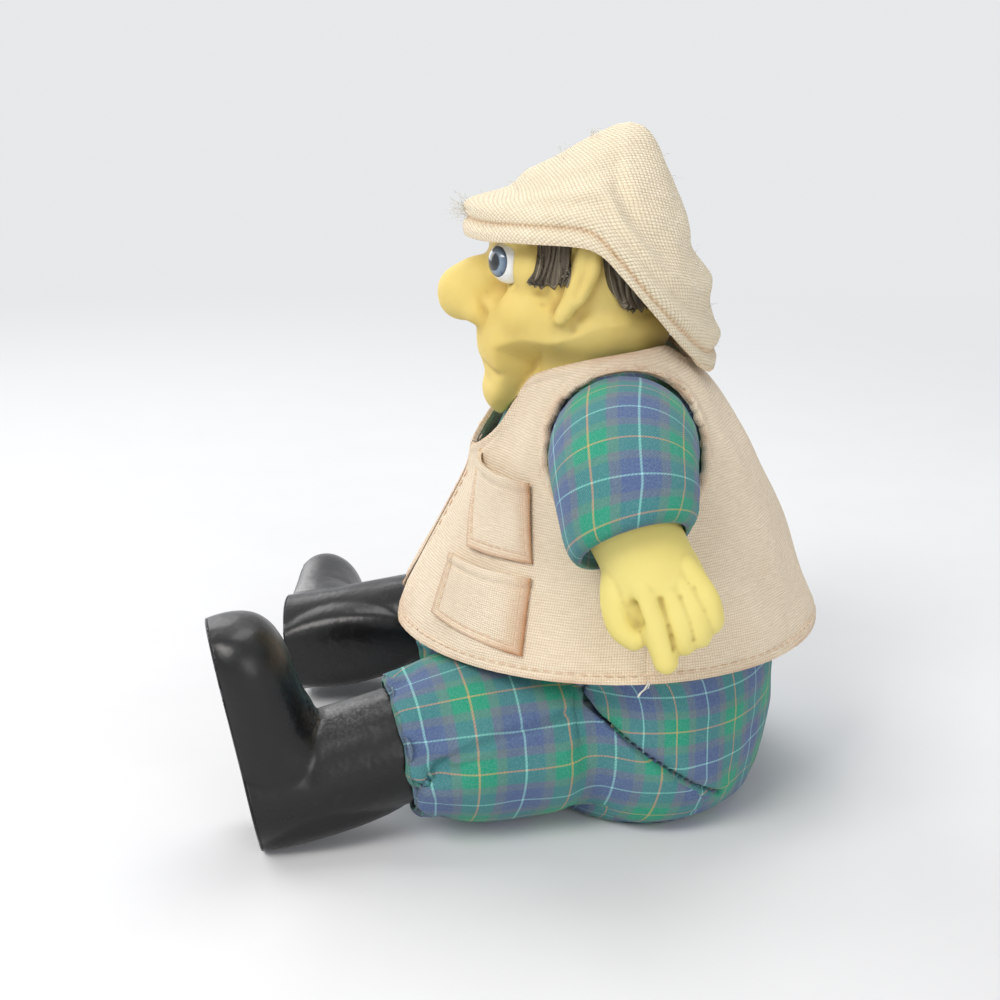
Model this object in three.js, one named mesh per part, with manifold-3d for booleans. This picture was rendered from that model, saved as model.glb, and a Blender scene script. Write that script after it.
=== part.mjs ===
// A seated fisherman figurine: a stuffed tartan body with a weighted seat, a cast head, hands and boots
// tied into the cloth, a canvas waistcoat with patch pockets and a canvas cap.
// Millimetres, +Z up. The figure faces -Y and its left is +X.
// The origin lies on the flat seat base, in the middle plane of the body.
import * as THREE from "three";
import { mergeVertices } from "three/addons/utils/BufferGeometryUtils.js";
import Module from "manifold-3d";

const wasm = await Module();
wasm.setup();

// Clearances
const FIT_GAP = 0.4; // between pieces that touch
const TURN_GAP = 0.6; // between pieces that move past each other
const TIE_ROOM = 4; // round the neck, for its tie
const FAR = 300; // beyond the whole figure, for cuts

// Body bag
const CLOTH = 1.2; // wall of the body bag
const BASE_WIDTH = 62; // flat patch that the figure sits on
const BASE_DEPTH = 44;
const SEAT_WIDTH = 82;
const SEAT_DEPTH = 55;
const SEAT_Z = 16; // height of the widest part of the seat
const BODY_BACK_Y = 37.8; // back of the seat
const FILL_UP = 6; // top of the pellets above the hem

// Waistcoat, outside measures
const HEM_Z = 37;
const HEM_WIDTH = 90.5;
const HEM_DEPTH = 91.5;
const CHEST_Z = 65;
const CHEST_WIDTH = 73;
const CHEST_DEPTH = 66.2;
const SHOULDER_Z = 88;
const SHOULDER_WIDTH = 59;
const SHOULDER_DEPTH = 41.5;
const COLLAR_Z = 97; // top of the shoulders at the collar
const NECKLINE_DROP = 14; // how far the neckline falls in front
const VEST_Y = 1.8; // middle of the waistcoat, front to back
const VEST_CLOTH = 1.2;
const VEST_EASE = 1.3; // room between the body and the waistcoat
const HEM_FLARE = 3.6; // how far the hem stands off the body
const FRONT_GAP_TOP = 1; // gap between the two fronts
const FRONT_GAP_HEM = 5;
const FRONT_CORNER = 9; // rounding of the two lower front corners
const ARMHOLE_RADIUS = 15.6;
const ARMHOLE_DROP = 1.2; // middle of the armhole below the arm
const SHOULDER_SEAM_Y = 3;
const SIDE_SEAM_Y = 7;
const POCKET_CLOTH = 1.1;
const POCKET_GAPE = 2; // how far the chest pocket hangs open
const CHEST_POCKET_HEIGHT = 17;
const WAIST_POCKET_HEIGHT = 12.5;

// Arms
const ARM_X = 27; // shoulder seam, from the middle of the body
const ARM_Y = 3.2;
const ARM_Z = 80;
const ARM_RADIUS = 13;
const UPPER_ARM = 14.5; // shoulder seam to the middle of the elbow
const CUFF_RADIUS = 12;
const FOREARM = 15.4;
const FOREARM_LEAN = 34; // degrees from hanging straight down, outwards
const HAND_IN = 2; // wrist axis, inwards of the middle of the cuff
const HAND_LEAN_OUT = 20; // degrees
const HAND_LEAN_BACK = 15;
const PALM_WIDTH = 20;
const PALM_THICK = 12.5;
const PALM_LENGTH = 19;
const FINGER_RADIUS = 2.9;
const WRIST_RADIUS = 6;
const WRIST_GROOVE = 1.8; // depth of the tie groove
const WRIST_STUB = 8.5; // length of the wrist inside the cuff

// Legs
const HIP_X = 20.5;
const HIP_IN = 9.2; // middle of the hip, behind the front of the seat
const HIP_Y = BODY_BACK_Y - SEAT_DEPTH + HIP_IN;
const HIP_Z = 18.5;
const HIP_RADIUS = 17.4;
const LEG_LENGTH = 36; // hip to cuff
const LEG_RADIUS = 14;
const SPLAY_LEFT = 20; // degrees outwards
const SPLAY_RIGHT = 26;

// Boots
const BOOT_TILT = 10; // degrees, sole leaning forwards at the toe
const BOOT_ROLL_RIGHT = 88; // degrees, the right boot rolled outwards
const BOOT_TURN_LEFT = 7; // degrees, boot turned inwards of the leg
const BOOT_TURN_RIGHT = 24;
const SOLE_LENGTH = 49;
const SOLE_WIDTH = 23;
const HEEL_BACK = 13.2; // shaft axis to the back of the heel
const TOE_HEIGHT = 14;
const SHAFT_RADIUS = 12;
const SHAFT_LENGTH = 36; // sole to the top of the shaft, part of it inside the cuff
const ANKLE_IN = 4; // how far the shaft goes into the cuff
const ANKLE_RADIUS = 8.5;
const ANKLE_GROOVE = 2.4; // depth of the tie groove
const ANKLE_STUB = 12; // length of the boot inside the cuff

// Head
const NECK_Y = 0.5;
const NECK_RADIUS = 8.6;
const NECK_GROOVE = 1.6; // depth of the tie groove
const NECK_BOTTOM_Z = 84;
const HEAD_TURN = 15; // degrees each way
const HEAD_WIDTH = 37.2; // across the skull; the face, the hair and the cap are drawn to it
const HEAD_Y = -4; // middle of the skull
const HEAD_RISE = 15; // middle of the skull above the collar
const HEAD_Z = COLLAR_Z + HEAD_RISE;
const SOFTNESS = 2.4; // how far the lumps of the face run into each other
const EYE_RADIUS = 4.6;
const EYE_X = 9.6;
const EYE_FRONT = 15.2; // in front of the middle of the skull
const EYE_UP = 1;
const HAIR_THICK = 1.3;
const HAT_CLOTH_ROOM = HAIR_THICK + FIT_GAP; // room in the cap for the hair
const HAT_RISE = 28; // peak of the cap above the middle of the skull
const BAND_HEIGHT = 3.6;
const TIE_RADIUS = 1.1; // cord of the ties

// Facets
const SIDES = 24;
const FINE_SIDES = 16;

const deg = THREE.MathUtils.degToRad;
const vec = (x, y, z) => new THREE.Vector3(x, y, z);

// Materials
const paint = (color, roughness) => new THREE.MeshStandardMaterial({ color, roughness });
const skinPaint = paint(0xd8c25e, 0.6);
const canvas = paint(0xe8cfae, 0.95);
const tartan = paint(0x2f7f78, 0.9);
const bootPaint = paint(0x111214, 0.35);
const hairPaint = paint(0x5b554b, 0.7);
const eyePaint = paint(0xe9eef0, 0.1);
const cordWhite = paint(0xd9d4c6, 0.9);
const pelletPlastic = paint(0xb9b6a8, 0.6);
const wadWhite = paint(0xf2f0ea, 1);

// Solids from geometry, and back

function solid(geometry) {
  const bare = geometry.index ? geometry.toNonIndexed() : geometry.clone();
  bare.deleteAttribute("normal");
  bare.deleteAttribute("uv");
  const merged = mergeVertices(bare, 1e-4);
  return new wasm.Manifold(
    new wasm.Mesh({
      numProp: 3,
      vertProperties: new Float32Array(merged.attributes.position.array),
      triVerts: new Uint32Array(merged.index.array),
    }),
  );
}

function geometryOf(made) {
  const m = made.getMesh();
  const geometry = new THREE.BufferGeometry();
  geometry.setAttribute("position", new THREE.BufferAttribute(new Float32Array(m.vertProperties), 3));
  geometry.setIndex(new THREE.BufferAttribute(new Uint32Array(m.triVerts), 1));
  geometry.computeVertexNormals();
  return geometry;
}

const largest = (made) => made.decompose().sort((a, b) => b.volume() - a.volume())[0];

function piece(group, name, made, material) {
  const mesh = new THREE.Mesh(geometryOf(made), material);
  mesh.name = name;
  group.add(mesh);
  return mesh;
}

// A closed skin over rings of points. Each ring has the same number of points.
function loft(rings) {
  const n = rings[0].length;
  const points = rings.flat();
  const middle = (ring) => ring.reduce((sum, p) => sum.add(p), vec(0, 0, 0)).divideScalar(n);
  const first = points.push(middle(rings[0])) - 1;
  const last = points.push(middle(rings.at(-1))) - 1;
  const faces = [];
  for (let i = 0; i < n; i++) {
    const j = (i + 1) % n;
    for (let k = 0; k + 1 < rings.length; k++) {
      const a = k * n;
      const b = a + n;
      faces.push([a + i, a + j, b + j], [a + i, b + j, b + i]);
    }
    const top = (rings.length - 1) * n;
    faces.push([first, j, i], [last, top + i, top + j]);
  }
  const corner = ([a, b, c]) => points[a].dot(points[b].clone().cross(points[c]));
  const volume = faces.reduce((sum, face) => sum + corner(face), 0);
  const index = volume < 0 ? faces.map(([a, b, c]) => [a, c, b]) : faces;
  const geometry = new THREE.BufferGeometry().setFromPoints(points);
  geometry.setIndex(index.flat());
  return solid(geometry);
}

// An oval ring about a centre, with half axes u and v.
function oval(centre, u, v, sides = SIDES) {
  return Array.from({ length: sides }, (_, i) => {
    const t = (2 * Math.PI * i) / sides;
    return centre.clone().addScaledVector(u, Math.cos(t)).addScaledVector(v, Math.sin(t));
  });
}

// Rows of numbers between the stations of a table, on a smooth curve through them.
function between(stations, steps) {
  const keys = Object.keys(stations[0]);
  const last = stations.length - 1;
  const at = (i, key) => stations[Math.min(Math.max(i, 0), last)][key];
  const curve = (k, t, key) => {
    const [from, to] = [at(k, key), at(k + 1, key)];
    const leave = (to - at(k - 1, key)) / 2;
    const arrive = (at(k + 2, key) - from) / 2;
    const ease = t * t * (3 - 2 * t);
    return from + (to - from) * ease + t * (1 - t) * ((1 - t) * leave - t * arrive);
  };
  const rowAt = (k, t) => Object.fromEntries(keys.map((key) => [key, curve(k, t, key)]));
  const rows = [];
  for (let k = 0; k < last; k++) {
    for (let s = 0; s < steps; s++) rows.push(rowAt(k, s / steps));
  }
  return [...rows, stations[last]];
}

// A bag standing on Z: each row has a height, a half width, a half depth and a middle y.
function bag(rows, grow = 0, sides = SIDES) {
  const ring = (r) => oval(vec(0, r.y, r.z), vec(r.wide + grow, 0, 0), vec(0, r.deep + grow, 0), sides);
  return loft(rows.map(ring));
}

// A solid of revolution about Z: the profile is a list of [radius, height] that starts and ends on the axis.
function turned(profile, sides = FINE_SIDES) {
  const points = profile.map(([r, z]) => new THREE.Vector2(r, z));
  return solid(new THREE.LatheGeometry(points, sides).rotateX(Math.PI / 2));
}

function ball(radius, x = 0, y = 0, z = 0, sides = 16) {
  const geometry = new THREE.SphereGeometry(radius, sides, Math.round(sides * 0.6));
  return solid(geometry.rotateX(Math.PI / 2).translate(x, y, z));
}

// A side outline, points [y, z], extruded across X.
function sideCut(outline, fromX, toX) {
  const shape = new THREE.Shape(outline.map(([y, z]) => new THREE.Vector2(y, z)));
  const geometry = new THREE.ExtrudeGeometry(shape, { depth: toX - fromX, bevelEnabled: false, steps: 1 });
  geometry.rotateY(Math.PI / 2).rotateX(Math.PI / 2).translate(fromX, 0, 0);
  return solid(geometry);
}

// A round bar with round ends along a line of points, with a radius at each point.
function finger(points, radii, sides = 6) {
  const last = points.length - 1;
  const way = (i) => {
    const before = points[Math.max(i - 1, 0)];
    return points[Math.min(i + 1, last)].clone().sub(before).normalize();
  };
  const ringAt = (centre, along, r) => {
    const side = along.clone().cross(Math.abs(along.y) > 0.9 ? vec(1, 0, 0) : vec(0, 1, 0)).normalize();
    const up = along.clone().cross(side);
    return oval(centre, side.multiplyScalar(r), up.multiplyScalar(r), sides);
  };
  const tip = (i, sign) => {
    const r = radii[i];
    return ringAt(points[i].clone().addScaledVector(way(i), sign * r * 0.8), way(i), r * 0.55);
  };
  return loft([tip(0, -1), ...points.map((p, i) => ringAt(p, way(i), radii[i])), tip(last, 1)]);
}

// A quilt of cloth between an outer and an inner grid of points of the same size.
function quilt(outer, inner) {
  const rows = outer.length;
  const cols = outer[0].length;
  const points = [...outer.flat(), ...inner.flat()];
  const out = (i, j) => i * cols + j;
  const back = (i, j) => rows * cols + i * cols + j;
  const faces = [];
  const quad = (a, b, c, d) => faces.push(a, b, c, a, c, d);
  for (let i = 0; i + 1 < rows; i++) {
    for (let j = 0; j + 1 < cols; j++) {
      quad(out(i, j), out(i, j + 1), out(i + 1, j + 1), out(i + 1, j));
      quad(back(i, j), back(i + 1, j), back(i + 1, j + 1), back(i, j + 1));
    }
    quad(out(i, 0), out(i + 1, 0), back(i + 1, 0), back(i, 0));
    quad(out(i, cols - 1), back(i, cols - 1), back(i + 1, cols - 1), out(i + 1, cols - 1));
  }
  for (let j = 0; j + 1 < cols; j++) {
    quad(out(0, j), back(0, j), back(0, j + 1), out(0, j + 1));
    quad(out(rows - 1, j), out(rows - 1, j + 1), back(rows - 1, j + 1), back(rows - 1, j));
  }
  const geometry = new THREE.BufferGeometry().setFromPoints(points);
  geometry.setIndex(faces);
  return solid(geometry);
}

const slab = (z0, z1) => solid(new THREE.BoxGeometry(FAR, FAR, z1 - z0).translate(0, 0, (z0 + z1) / 2));
const spun = (made, x, y, angle) => made.translate(-x, -y, 0).rotate([0, 0, angle]).translate(x, y, 0);
const mirrored = (made) => made.mirror([1, 0, 0]);
const both = (made) => made.add(mirrored(made));
const lerp = THREE.MathUtils.lerp;

// Waistcoat form

const vestRows = between(
  [
    { z: HEM_Z, wide: HEM_WIDTH / 2, deep: HEM_DEPTH / 2, y: VEST_Y - 0.5 },
    { z: CHEST_Z, wide: CHEST_WIDTH / 2, deep: CHEST_DEPTH / 2, y: VEST_Y + 1.3 },
    { z: SHOULDER_Z, wide: SHOULDER_WIDTH / 2, deep: SHOULDER_DEPTH / 2, y: VEST_Y + 0.5 },
    { z: COLLAR_Z, wide: SHOULDER_WIDTH * 0.34, deep: SHOULDER_DEPTH * 0.3, y: VEST_Y - 0.8 },
    { z: COLLAR_Z + 3, wide: SHOULDER_WIDTH * 0.17, deep: SHOULDER_DEPTH * 0.14, y: VEST_Y - 0.8 },
  ],
  3,
);

function rowAt(rows, z) {
  const k = Math.max(1, Math.min(rows.length - 1, rows.findIndex((r) => r.z >= z)));
  const [a, b] = [rows[k - 1], rows[k]];
  const t = (z - a.z) / (b.z - a.z);
  return { z, wide: lerp(a.wide, b.wide, t), deep: lerp(a.deep, b.deep, t), y: lerp(a.y, b.y, t) };
}

// A point of the waistcoat: the angle runs from the front centre towards the left side.
function vestPoint(angle, z, grow) {
  const r = rowAt(vestRows, z);
  return vec((r.wide + grow) * Math.sin(angle), r.y - (r.deep + grow) * Math.cos(angle), z);
}

// Everything below the neckline, seen from the side.
function belowCollar(lift) {
  const point = (y, top, drop) => vec(0, y * SHOULDER_DEPTH, top - drop * NECKLINE_DROP + lift);
  const line = new THREE.CatmullRomCurve3([
    point(-0.723, SHOULDER_Z, 1),
    point(-0.578, SHOULDER_Z, 0.543),
    point(-0.301, COLLAR_Z, 0.329),
    point(-0.041, COLLAR_Z, 0.043),
    point(0.253, COLLAR_Z, 0),
    point(0.453, COLLAR_Z, 0.329),
    point(0.627, COLLAR_Z, 1),
  ]).getPoints(14);
  const top = line.map((p) => [p.y, p.z]);
  const [front, rear] = [top[0][1], top.at(-1)[1]];
  return sideCut([[-FAR, 0], [FAR, 0], [FAR, rear], ...top.reverse(), [-FAR, front]], -FAR, FAR);
}

// The space that the head and the cap keep clear of, at every turn of the head.
function collarRoom() {
  const room = bag(vestRows, TURN_GAP, FINE_SIDES).intersect(belowCollar(TURN_GAP));
  const turns = [-1, 1].map((t) => spun(room, 0, NECK_Y, t * HEAD_TURN));
  const top = COLLAR_Z + 0.2;
  const wide = NECK_RADIUS + TIE_ROOM;
  const tieRoom = turned([[0, SHOULDER_Z], [wide, SHOULDER_Z], [wide, top], [0, top]]);
  return turns.reduce((sum, r) => sum.add(r), room.add(tieRoom.translate(0, NECK_Y, 0)));
}

// Body bag

const standOff = VEST_CLOTH + VEST_EASE;
const seatY = BODY_BACK_Y - SEAT_DEPTH / 2;
const FILL_Z = HEM_Z + FILL_UP;
const bellyWide = HEM_WIDTH / 2 - standOff - HEM_FLARE;
const bellyDeep = HEM_DEPTH / 2 - standOff - HEM_FLARE;
const seatRows = between(
  [
    { z: 0, wide: BASE_WIDTH / 2, deep: BASE_DEPTH / 2, y: seatY - 3.5 },
    { z: SEAT_Z * 0.28, wide: SEAT_WIDTH / 2 - 2.5, deep: SEAT_DEPTH / 2 - 1.5, y: seatY - 0.4 },
    { z: SEAT_Z, wide: SEAT_WIDTH / 2, deep: SEAT_DEPTH / 2, y: seatY },
    { z: HEM_Z + 1, wide: bellyWide, deep: SEAT_DEPTH / 2, y: seatY + 0.6 },
    { z: FILL_Z, wide: bellyWide - standOff, deep: SEAT_DEPTH / 2 - standOff, y: seatY + 0.6 },
  ],
  2,
);
const waistWide = lerp(HEM_WIDTH, CHEST_WIDTH, 0.5) / 2 - standOff;
const waistDeep = lerp(HEM_DEPTH, CHEST_DEPTH, 0.5) / 2 - standOff;
const chestRows = between(
  [
    { z: HEM_Z - 0.2, wide: bellyWide, deep: bellyDeep, y: VEST_Y - 0.4 },
    { z: lerp(HEM_Z, CHEST_Z, 0.5), wide: waistWide, deep: waistDeep, y: VEST_Y },
    { z: CHEST_Z, wide: CHEST_WIDTH / 2 - standOff, deep: CHEST_DEPTH / 2 - standOff, y: VEST_Y + 1.3 },
    {
      z: SHOULDER_Z - 1,
      wide: SHOULDER_WIDTH / 2 - standOff,
      deep: SHOULDER_DEPTH / 2 - standOff,
      y: VEST_Y + 0.5,
    },
    { z: COLLAR_Z - 4, wide: NECK_RADIUS + TIE_ROOM, deep: NECK_RADIUS + 1.5, y: NECK_Y },
  ],
  2,
);
const GROOVE_Z = COLLAR_Z - 2.2; // height of the tie on the neck
const collarHole = NECK_RADIUS - NECK_GROOVE + FIT_GAP;

const hips = (grow, sides) => both(ball(HIP_RADIUS + grow, HIP_X, HIP_Y, HIP_Z, sides));

// The round flat seats of the two arms.
function armSeats(inwards, radius) {
  const bar = new THREE.CylinderGeometry(radius, radius, FAR, FINE_SIDES).rotateZ(Math.PI / 2);
  return both(solid(bar.translate(ARM_X - inwards + FAR / 2, ARM_Y, ARM_Z)));
}

function bodyForm(grow, sides) {
  const chest = bag(chestRows, grow, sides).intersect(slab(HEM_Z - 0.2 - grow, 2 * COLLAR_Z));
  return bag(seatRows, grow, sides).add(chest);
}

// The inside of the bag, kept off its wall.
function bodyInside(off) {
  return bodyForm(-off, FINE_SIDES)
    .subtract(hips(TURN_GAP + off, 12))
    .subtract(armSeats(off, ARM_RADIUS + 1 + off))
    .intersect(slab(off, COLLAR_Z - 5 - off));
}

function neckHole() {
  return turned([
    [0, NECK_BOTTOM_Z - FIT_GAP],
    [NECK_RADIUS + FIT_GAP, NECK_BOTTOM_Z - FIT_GAP],
    [NECK_RADIUS + FIT_GAP, COLLAR_Z - NECK_RADIUS * 0.535],
    [collarHole, COLLAR_Z - NECK_RADIUS * 0.42],
    [collarHole, FAR],
    [0, FAR],
  ]).translate(0, NECK_Y, 0);
}

function bodySkin() {
  const wall = collarHole + CLOTH;
  const collar = turned([[0, SHOULDER_Z], [wall, SHOULDER_Z], [wall, COLLAR_Z - 0.6], [0, COLLAR_Z - 0.6]]);
  return bodyForm(0, SIDES)
    .subtract(hips(TURN_GAP))
    .subtract(armSeats(0, ARM_RADIUS + 1))
    .add(collar.translate(0, NECK_Y, 0))
    .subtract(bodyInside(CLOTH))
    .subtract(neckHole());
}

function buildBody(group) {
  const stuffed = bodyInside(CLOTH + FIT_GAP);
  piece(group, "body_skin", largest(bodySkin()), tartan);
  piece(group, "pellet_fill", largest(stuffed.intersect(slab(-1, FILL_Z))), pelletPlastic);
  const chest = slab(FILL_Z + FIT_GAP, NECK_BOTTOM_Z - 2 * FIT_GAP);
  piece(group, "wadding", largest(stuffed.intersect(chest)), wadWhite);
  piece(group, "neck_tie", tie(collarHole + CLOTH + FIT_GAP).translate(0, NECK_Y, GROOVE_Z), cordWhite);
}

// A ring of cord with the given inside radius.
function tie(inside, cord = TIE_RADIUS) {
  return solid(new THREE.TorusGeometry(inside + cord, cord, 5, 14));
}

// Waistcoat

function vestShell() {
  const shell = bag(vestRows, 0).subtract(bag(vestRows, -VEST_CLOTH));
  const under = slab(HEM_Z - 5, HEM_Z + 0.01);
  const bar = new THREE.CylinderGeometry(ARMHOLE_RADIUS, ARMHOLE_RADIUS, FAR, SIDES).rotateZ(Math.PI / 2);
  const armhole = solid(bar.translate(ARM_X * 0.4 + FAR / 2, ARM_Y, ARM_Z - ARMHOLE_DROP));
  return shell.subtract(under).intersect(belowCollar(0)).subtract(both(armhole));
}

// The gap between the fronts, wider at the hem, with round lower corners.
function frontGap() {
  const half = (z) => lerp(FRONT_GAP_HEM, FRONT_GAP_TOP, (z - HEM_Z) / (SHOULDER_Z - HEM_Z)) / 2;
  const corner = HEM_Z + FRONT_CORNER;
  const shape = new THREE.Shape();
  shape.moveTo(-half(COLLAR_Z), COLLAR_Z);
  shape.lineTo(-half(corner), corner);
  shape.quadraticCurveTo(-half(HEM_Z), HEM_Z + 0.5, -half(HEM_Z) - FRONT_CORNER, HEM_Z - 1);
  shape.lineTo(half(HEM_Z) + FRONT_CORNER, HEM_Z - 1);
  shape.quadraticCurveTo(half(HEM_Z), HEM_Z + 0.5, half(corner), corner);
  shape.lineTo(half(COLLAR_Z), COLLAR_Z);
  const gap = new THREE.ExtrudeGeometry(shape, { depth: FAR, bevelEnabled: false, curveSegments: 6 });
  return solid(gap.rotateX(Math.PI / 2));
}

// The half behind the shoulder seam and the side seam.
function backHalf(shift) {
  const shoulder = SHOULDER_SEAM_Y + shift;
  const side = SIDE_SEAM_Y + shift;
  const outline = [[FAR, 0], [FAR, FAR], [shoulder, FAR], [shoulder, ARM_Z], [side, ARM_Z], [side, 0]];
  return sideCut(outline, -FAR, FAR);
}

function pocket(corners, gape) {
  const cols = 6;
  const rows = 5;
  const grid = (grow) =>
    Array.from({ length: rows }, (_, i) =>
      Array.from({ length: cols }, (_, j) => {
        const [u, v] = [j / (cols - 1), i / (rows - 1)];
        const low = [lerp(corners.bl[0], corners.br[0], u), lerp(corners.bl[1], corners.br[1], u)];
        const high = [lerp(corners.tl[0], corners.tr[0], u), lerp(corners.tl[1], corners.tr[1], u)];
        const belly = gape * Math.sin(Math.PI * u) * v * v;
        return vestPoint(deg(lerp(low[0], high[0], v)), lerp(low[1], high[1], v), grow + belly);
      }),
    );
  return quilt(grid(FIT_GAP + POCKET_CLOTH), grid(FIT_GAP));
}

// Pocket corners: degrees round from the front centre, and height
const chestCorner = (angle, up) => [angle, CHEST_Z + up * CHEST_POCKET_HEIGHT];
const waistCorner = (angle, up) => [angle, HEM_Z + up * WAIST_POCKET_HEIGHT];
const CHEST_POCKET = {
  tl: chestCorner(14, 0.56),
  tr: chestCorner(52, 0.44),
  bl: chestCorner(34, -0.44),
  br: chestCorner(61, -0.41),
};
const WAIST_POCKET = {
  tl: waistCorner(27, 1.44),
  tr: waistCorner(62, 1.48),
  bl: waistCorner(31, 0.52),
  br: waistCorner(65, 0.32),
};

function buildVest(group) {
  const shell = vestShell();
  const fronts = shell.subtract(backHalf(-FIT_GAP / 2)).subtract(frontGap());
  const [left, right] = fronts.decompose().sort((a, b) => b.volume() - a.volume());
  const leftFirst = left.boundingBox().max[0] > right.boundingBox().max[0];
  piece(group, "vest_back", largest(shell.intersect(backHalf(FIT_GAP / 2))), canvas);
  piece(group, "vest_front_left", leftFirst ? left : right, canvas);
  piece(group, "vest_front_right", leftFirst ? right : left, canvas);
  for (const [name, corners, gape] of [
    ["chest_pocket", CHEST_POCKET, POCKET_GAPE],
    ["waist_pocket", WAIST_POCKET, POCKET_GAPE * 0.4],
  ]) {
    const made = pocket(corners, gape);
    piece(group, `${name}_left`, made, canvas);
    piece(group, `${name}_right`, mirrored(made), canvas);
  }
}

// Head: a face modelled from soft lumps that run into each other

// Middle and half sizes of a lump, in head widths from the middle of the skull
function lump(x, y, z, rx, ry, rz, lean = 0) {
  const w = HEAD_WIDTH;
  const half = { rx: rx * w, ry: ry * w, rz: rz * w };
  return { x: x * w, y: HEAD_Y + y * w, z: HEAD_Z + z * w, ...half, lean: deg(lean) };
}
const pair = (x, ...rest) => [lump(x, ...rest), lump(-x, ...rest)];
const FACE = [
  lump(0, 0, 0, 0.5, 0.468, 0.462), // skull
  lump(0, -0.094, -0.387, 0.457, 0.403, 0.363), // jowls
  lump(0, -0.02, -0.37, 0.505, 0.37, 0.2), // roll of the neck, out to the collar
  lump(0, -0.392, -0.672, 0.253, 0.145, 0.161), // chin
  lump(0, -0.419, -0.468, 0.28, 0.161, 0.129), // lips
  lump(0, -0.645, -0.177, 0.167, 0.169, 0.175), // nose
  lump(0, -0.505, -0.038, 0.113, 0.151, 0.124), // bridge of the nose
  ...pair(0.253, -0.309, -0.323, 0.177, 0.188, 0.172), // cheeks
  ...pair(0.231, -0.344, 0.177, 0.172, 0.134, 0.075), // brows
  ...pair(0.522, 0.005, -0.07, 0.073, 0.134, 0.226, 14), // ears
];

function lumpDistance(l, p) {
  const [dy, dz] = [p.y - l.y, p.z - l.z];
  const y = dy * Math.cos(l.lean) - dz * Math.sin(l.lean);
  const z = dy * Math.sin(l.lean) + dz * Math.cos(l.lean);
  const q = vec((p.x - l.x) / l.rx, y / l.ry, z / l.rz);
  const slope = vec(q.x / l.rx, q.y / l.ry, q.z / l.rz).length();
  return slope < 1e-9 ? -Math.min(l.rx, l.ry, l.rz) : (q.length() * (q.length() - 1)) / slope;
}

function faceDistance(p) {
  const sum = FACE.reduce((s, l) => s + Math.exp(-lumpDistance(l, p) / (SOFTNESS * 0.4)), 0);
  return -SOFTNESS * 0.4 * Math.log(sum);
}

// The outside of the head, moved out by the given amount.
function headForm(grow, detail) {
  const centre = vec(0, HEAD_Y - 0.054 * HEAD_WIDTH, HEAD_Z - 0.215 * HEAD_WIDTH);
  const step = 0.016 * HEAD_WIDTH;
  const geometry = new THREE.IcosahedronGeometry(1, detail);
  const at = geometry.attributes.position;
  const p = vec(0, 0, 0);
  for (let i = 0; i < at.count; i++) {
    const ray = vec().fromBufferAttribute(at, i).normalize();
    const outside = (reach) => faceDistance(p.copy(centre).addScaledVector(ray, reach)) > grow;
    let low = 1.13 * HEAD_WIDTH;
    while (outside(low) && low > step) low -= step;
    let high = low + step;
    for (let k = 0; k < 18; k++) {
      const mid = (low + high) / 2;
      if (outside(mid)) high = mid;
      else low = mid;
    }
    p.copy(centre).addScaledVector(ray, low);
    at.setXYZ(i, p.x, p.y, p.z);
  }
  return solid(geometry);
}

function neck() {
  const groove = NECK_RADIUS - NECK_GROOVE;
  return turned([
    [0, NECK_BOTTOM_Z],
    [NECK_RADIUS, NECK_BOTTOM_Z],
    [NECK_RADIUS, COLLAR_Z - NECK_RADIUS * 0.6],
    [groove, COLLAR_Z - NECK_RADIUS * 0.49],
    [groove, COLLAR_Z + NECK_RADIUS * 0.7],
    [0, COLLAR_Z + NECK_RADIUS * 0.7],
  ]).translate(0, NECK_Y, 0);
}

// Side outlines of the hair, and the lower edge of the cap, in head widths from the middle of the skull
const onHead = ([y, z]) => [HEAD_Y + y * HEAD_WIDTH, HEAD_Z + z * HEAD_WIDTH];
const SIDEBURN = [
  [-0.29, 0.161], [-0.08, 0.161], [-0.105, 0], [-0.13, -0.113], [-0.33, -0.118], [-0.3, -0.03],
].map(onHead);
const NAPE = [
  [0.161, 0.161], [0.645, 0.161], [0.645, -0.35], [0.35, -0.35], [0.228, -0.242], [0.167, -0.081],
].map(onHead);
const RIM = [
  [-0.86, 0.167], [-0.608, 0.161], [-0.363, 0.175], [-0.083, 0.169], [0.043, 0.129],
  [0.145, 0.03], [0.306, -0.156], [0.495, -0.376], [0.675, -0.565], [0.914, -0.806],
].map(onHead);

function aboveLine(line, lift) {
  const curve = new THREE.CatmullRomCurve3(line.map(([y, z]) => vec(0, y, z))).getPoints(18);
  const edge = curve.map((p) => [p.y + lift * 0.35, p.z + lift]);
  const [front, rear] = [edge[0][1], edge.at(-1)[1]];
  return sideCut([...edge, [FAR, rear], [FAR, FAR], [-FAR, FAR], [-FAR, front]], -FAR, FAR);
}

// A row of the cap: rise above the middle of the skull, then half sizes and middle y in head widths.
function capRow(rise, wide, deep, y) {
  return { z: HEAD_Z + rise, wide: wide * HEAD_WIDTH, deep: deep * HEAD_WIDTH, y: HEAD_Y + y * HEAD_WIDTH };
}
const capSide = 0.258 * HEAD_WIDTH;
const hatRows = between(
  [
    capRow(-0.753 * HEAD_WIDTH, 0.634, 0.699, 0.054),
    capRow(-0.331 * HEAD_WIDTH, 0.683, 0.683, 0.038),
    capRow(0.005 * HEAD_WIDTH, 0.699, 0.656, -0.016),
    capRow(capSide, 0.629, 0.6, -0.048),
    capRow(lerp(capSide, HAT_RISE, 0.32), 0.5, 0.468, 0.016),
    capRow(lerp(capSide, HAT_RISE, 0.64), 0.312, 0.285, 0.124),
    capRow(lerp(capSide, HAT_RISE, 0.88), 0.151, 0.145, 0.204),
    capRow(HAT_RISE, 0.038, 0.043, 0.231),
  ],
  1,
);

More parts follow.
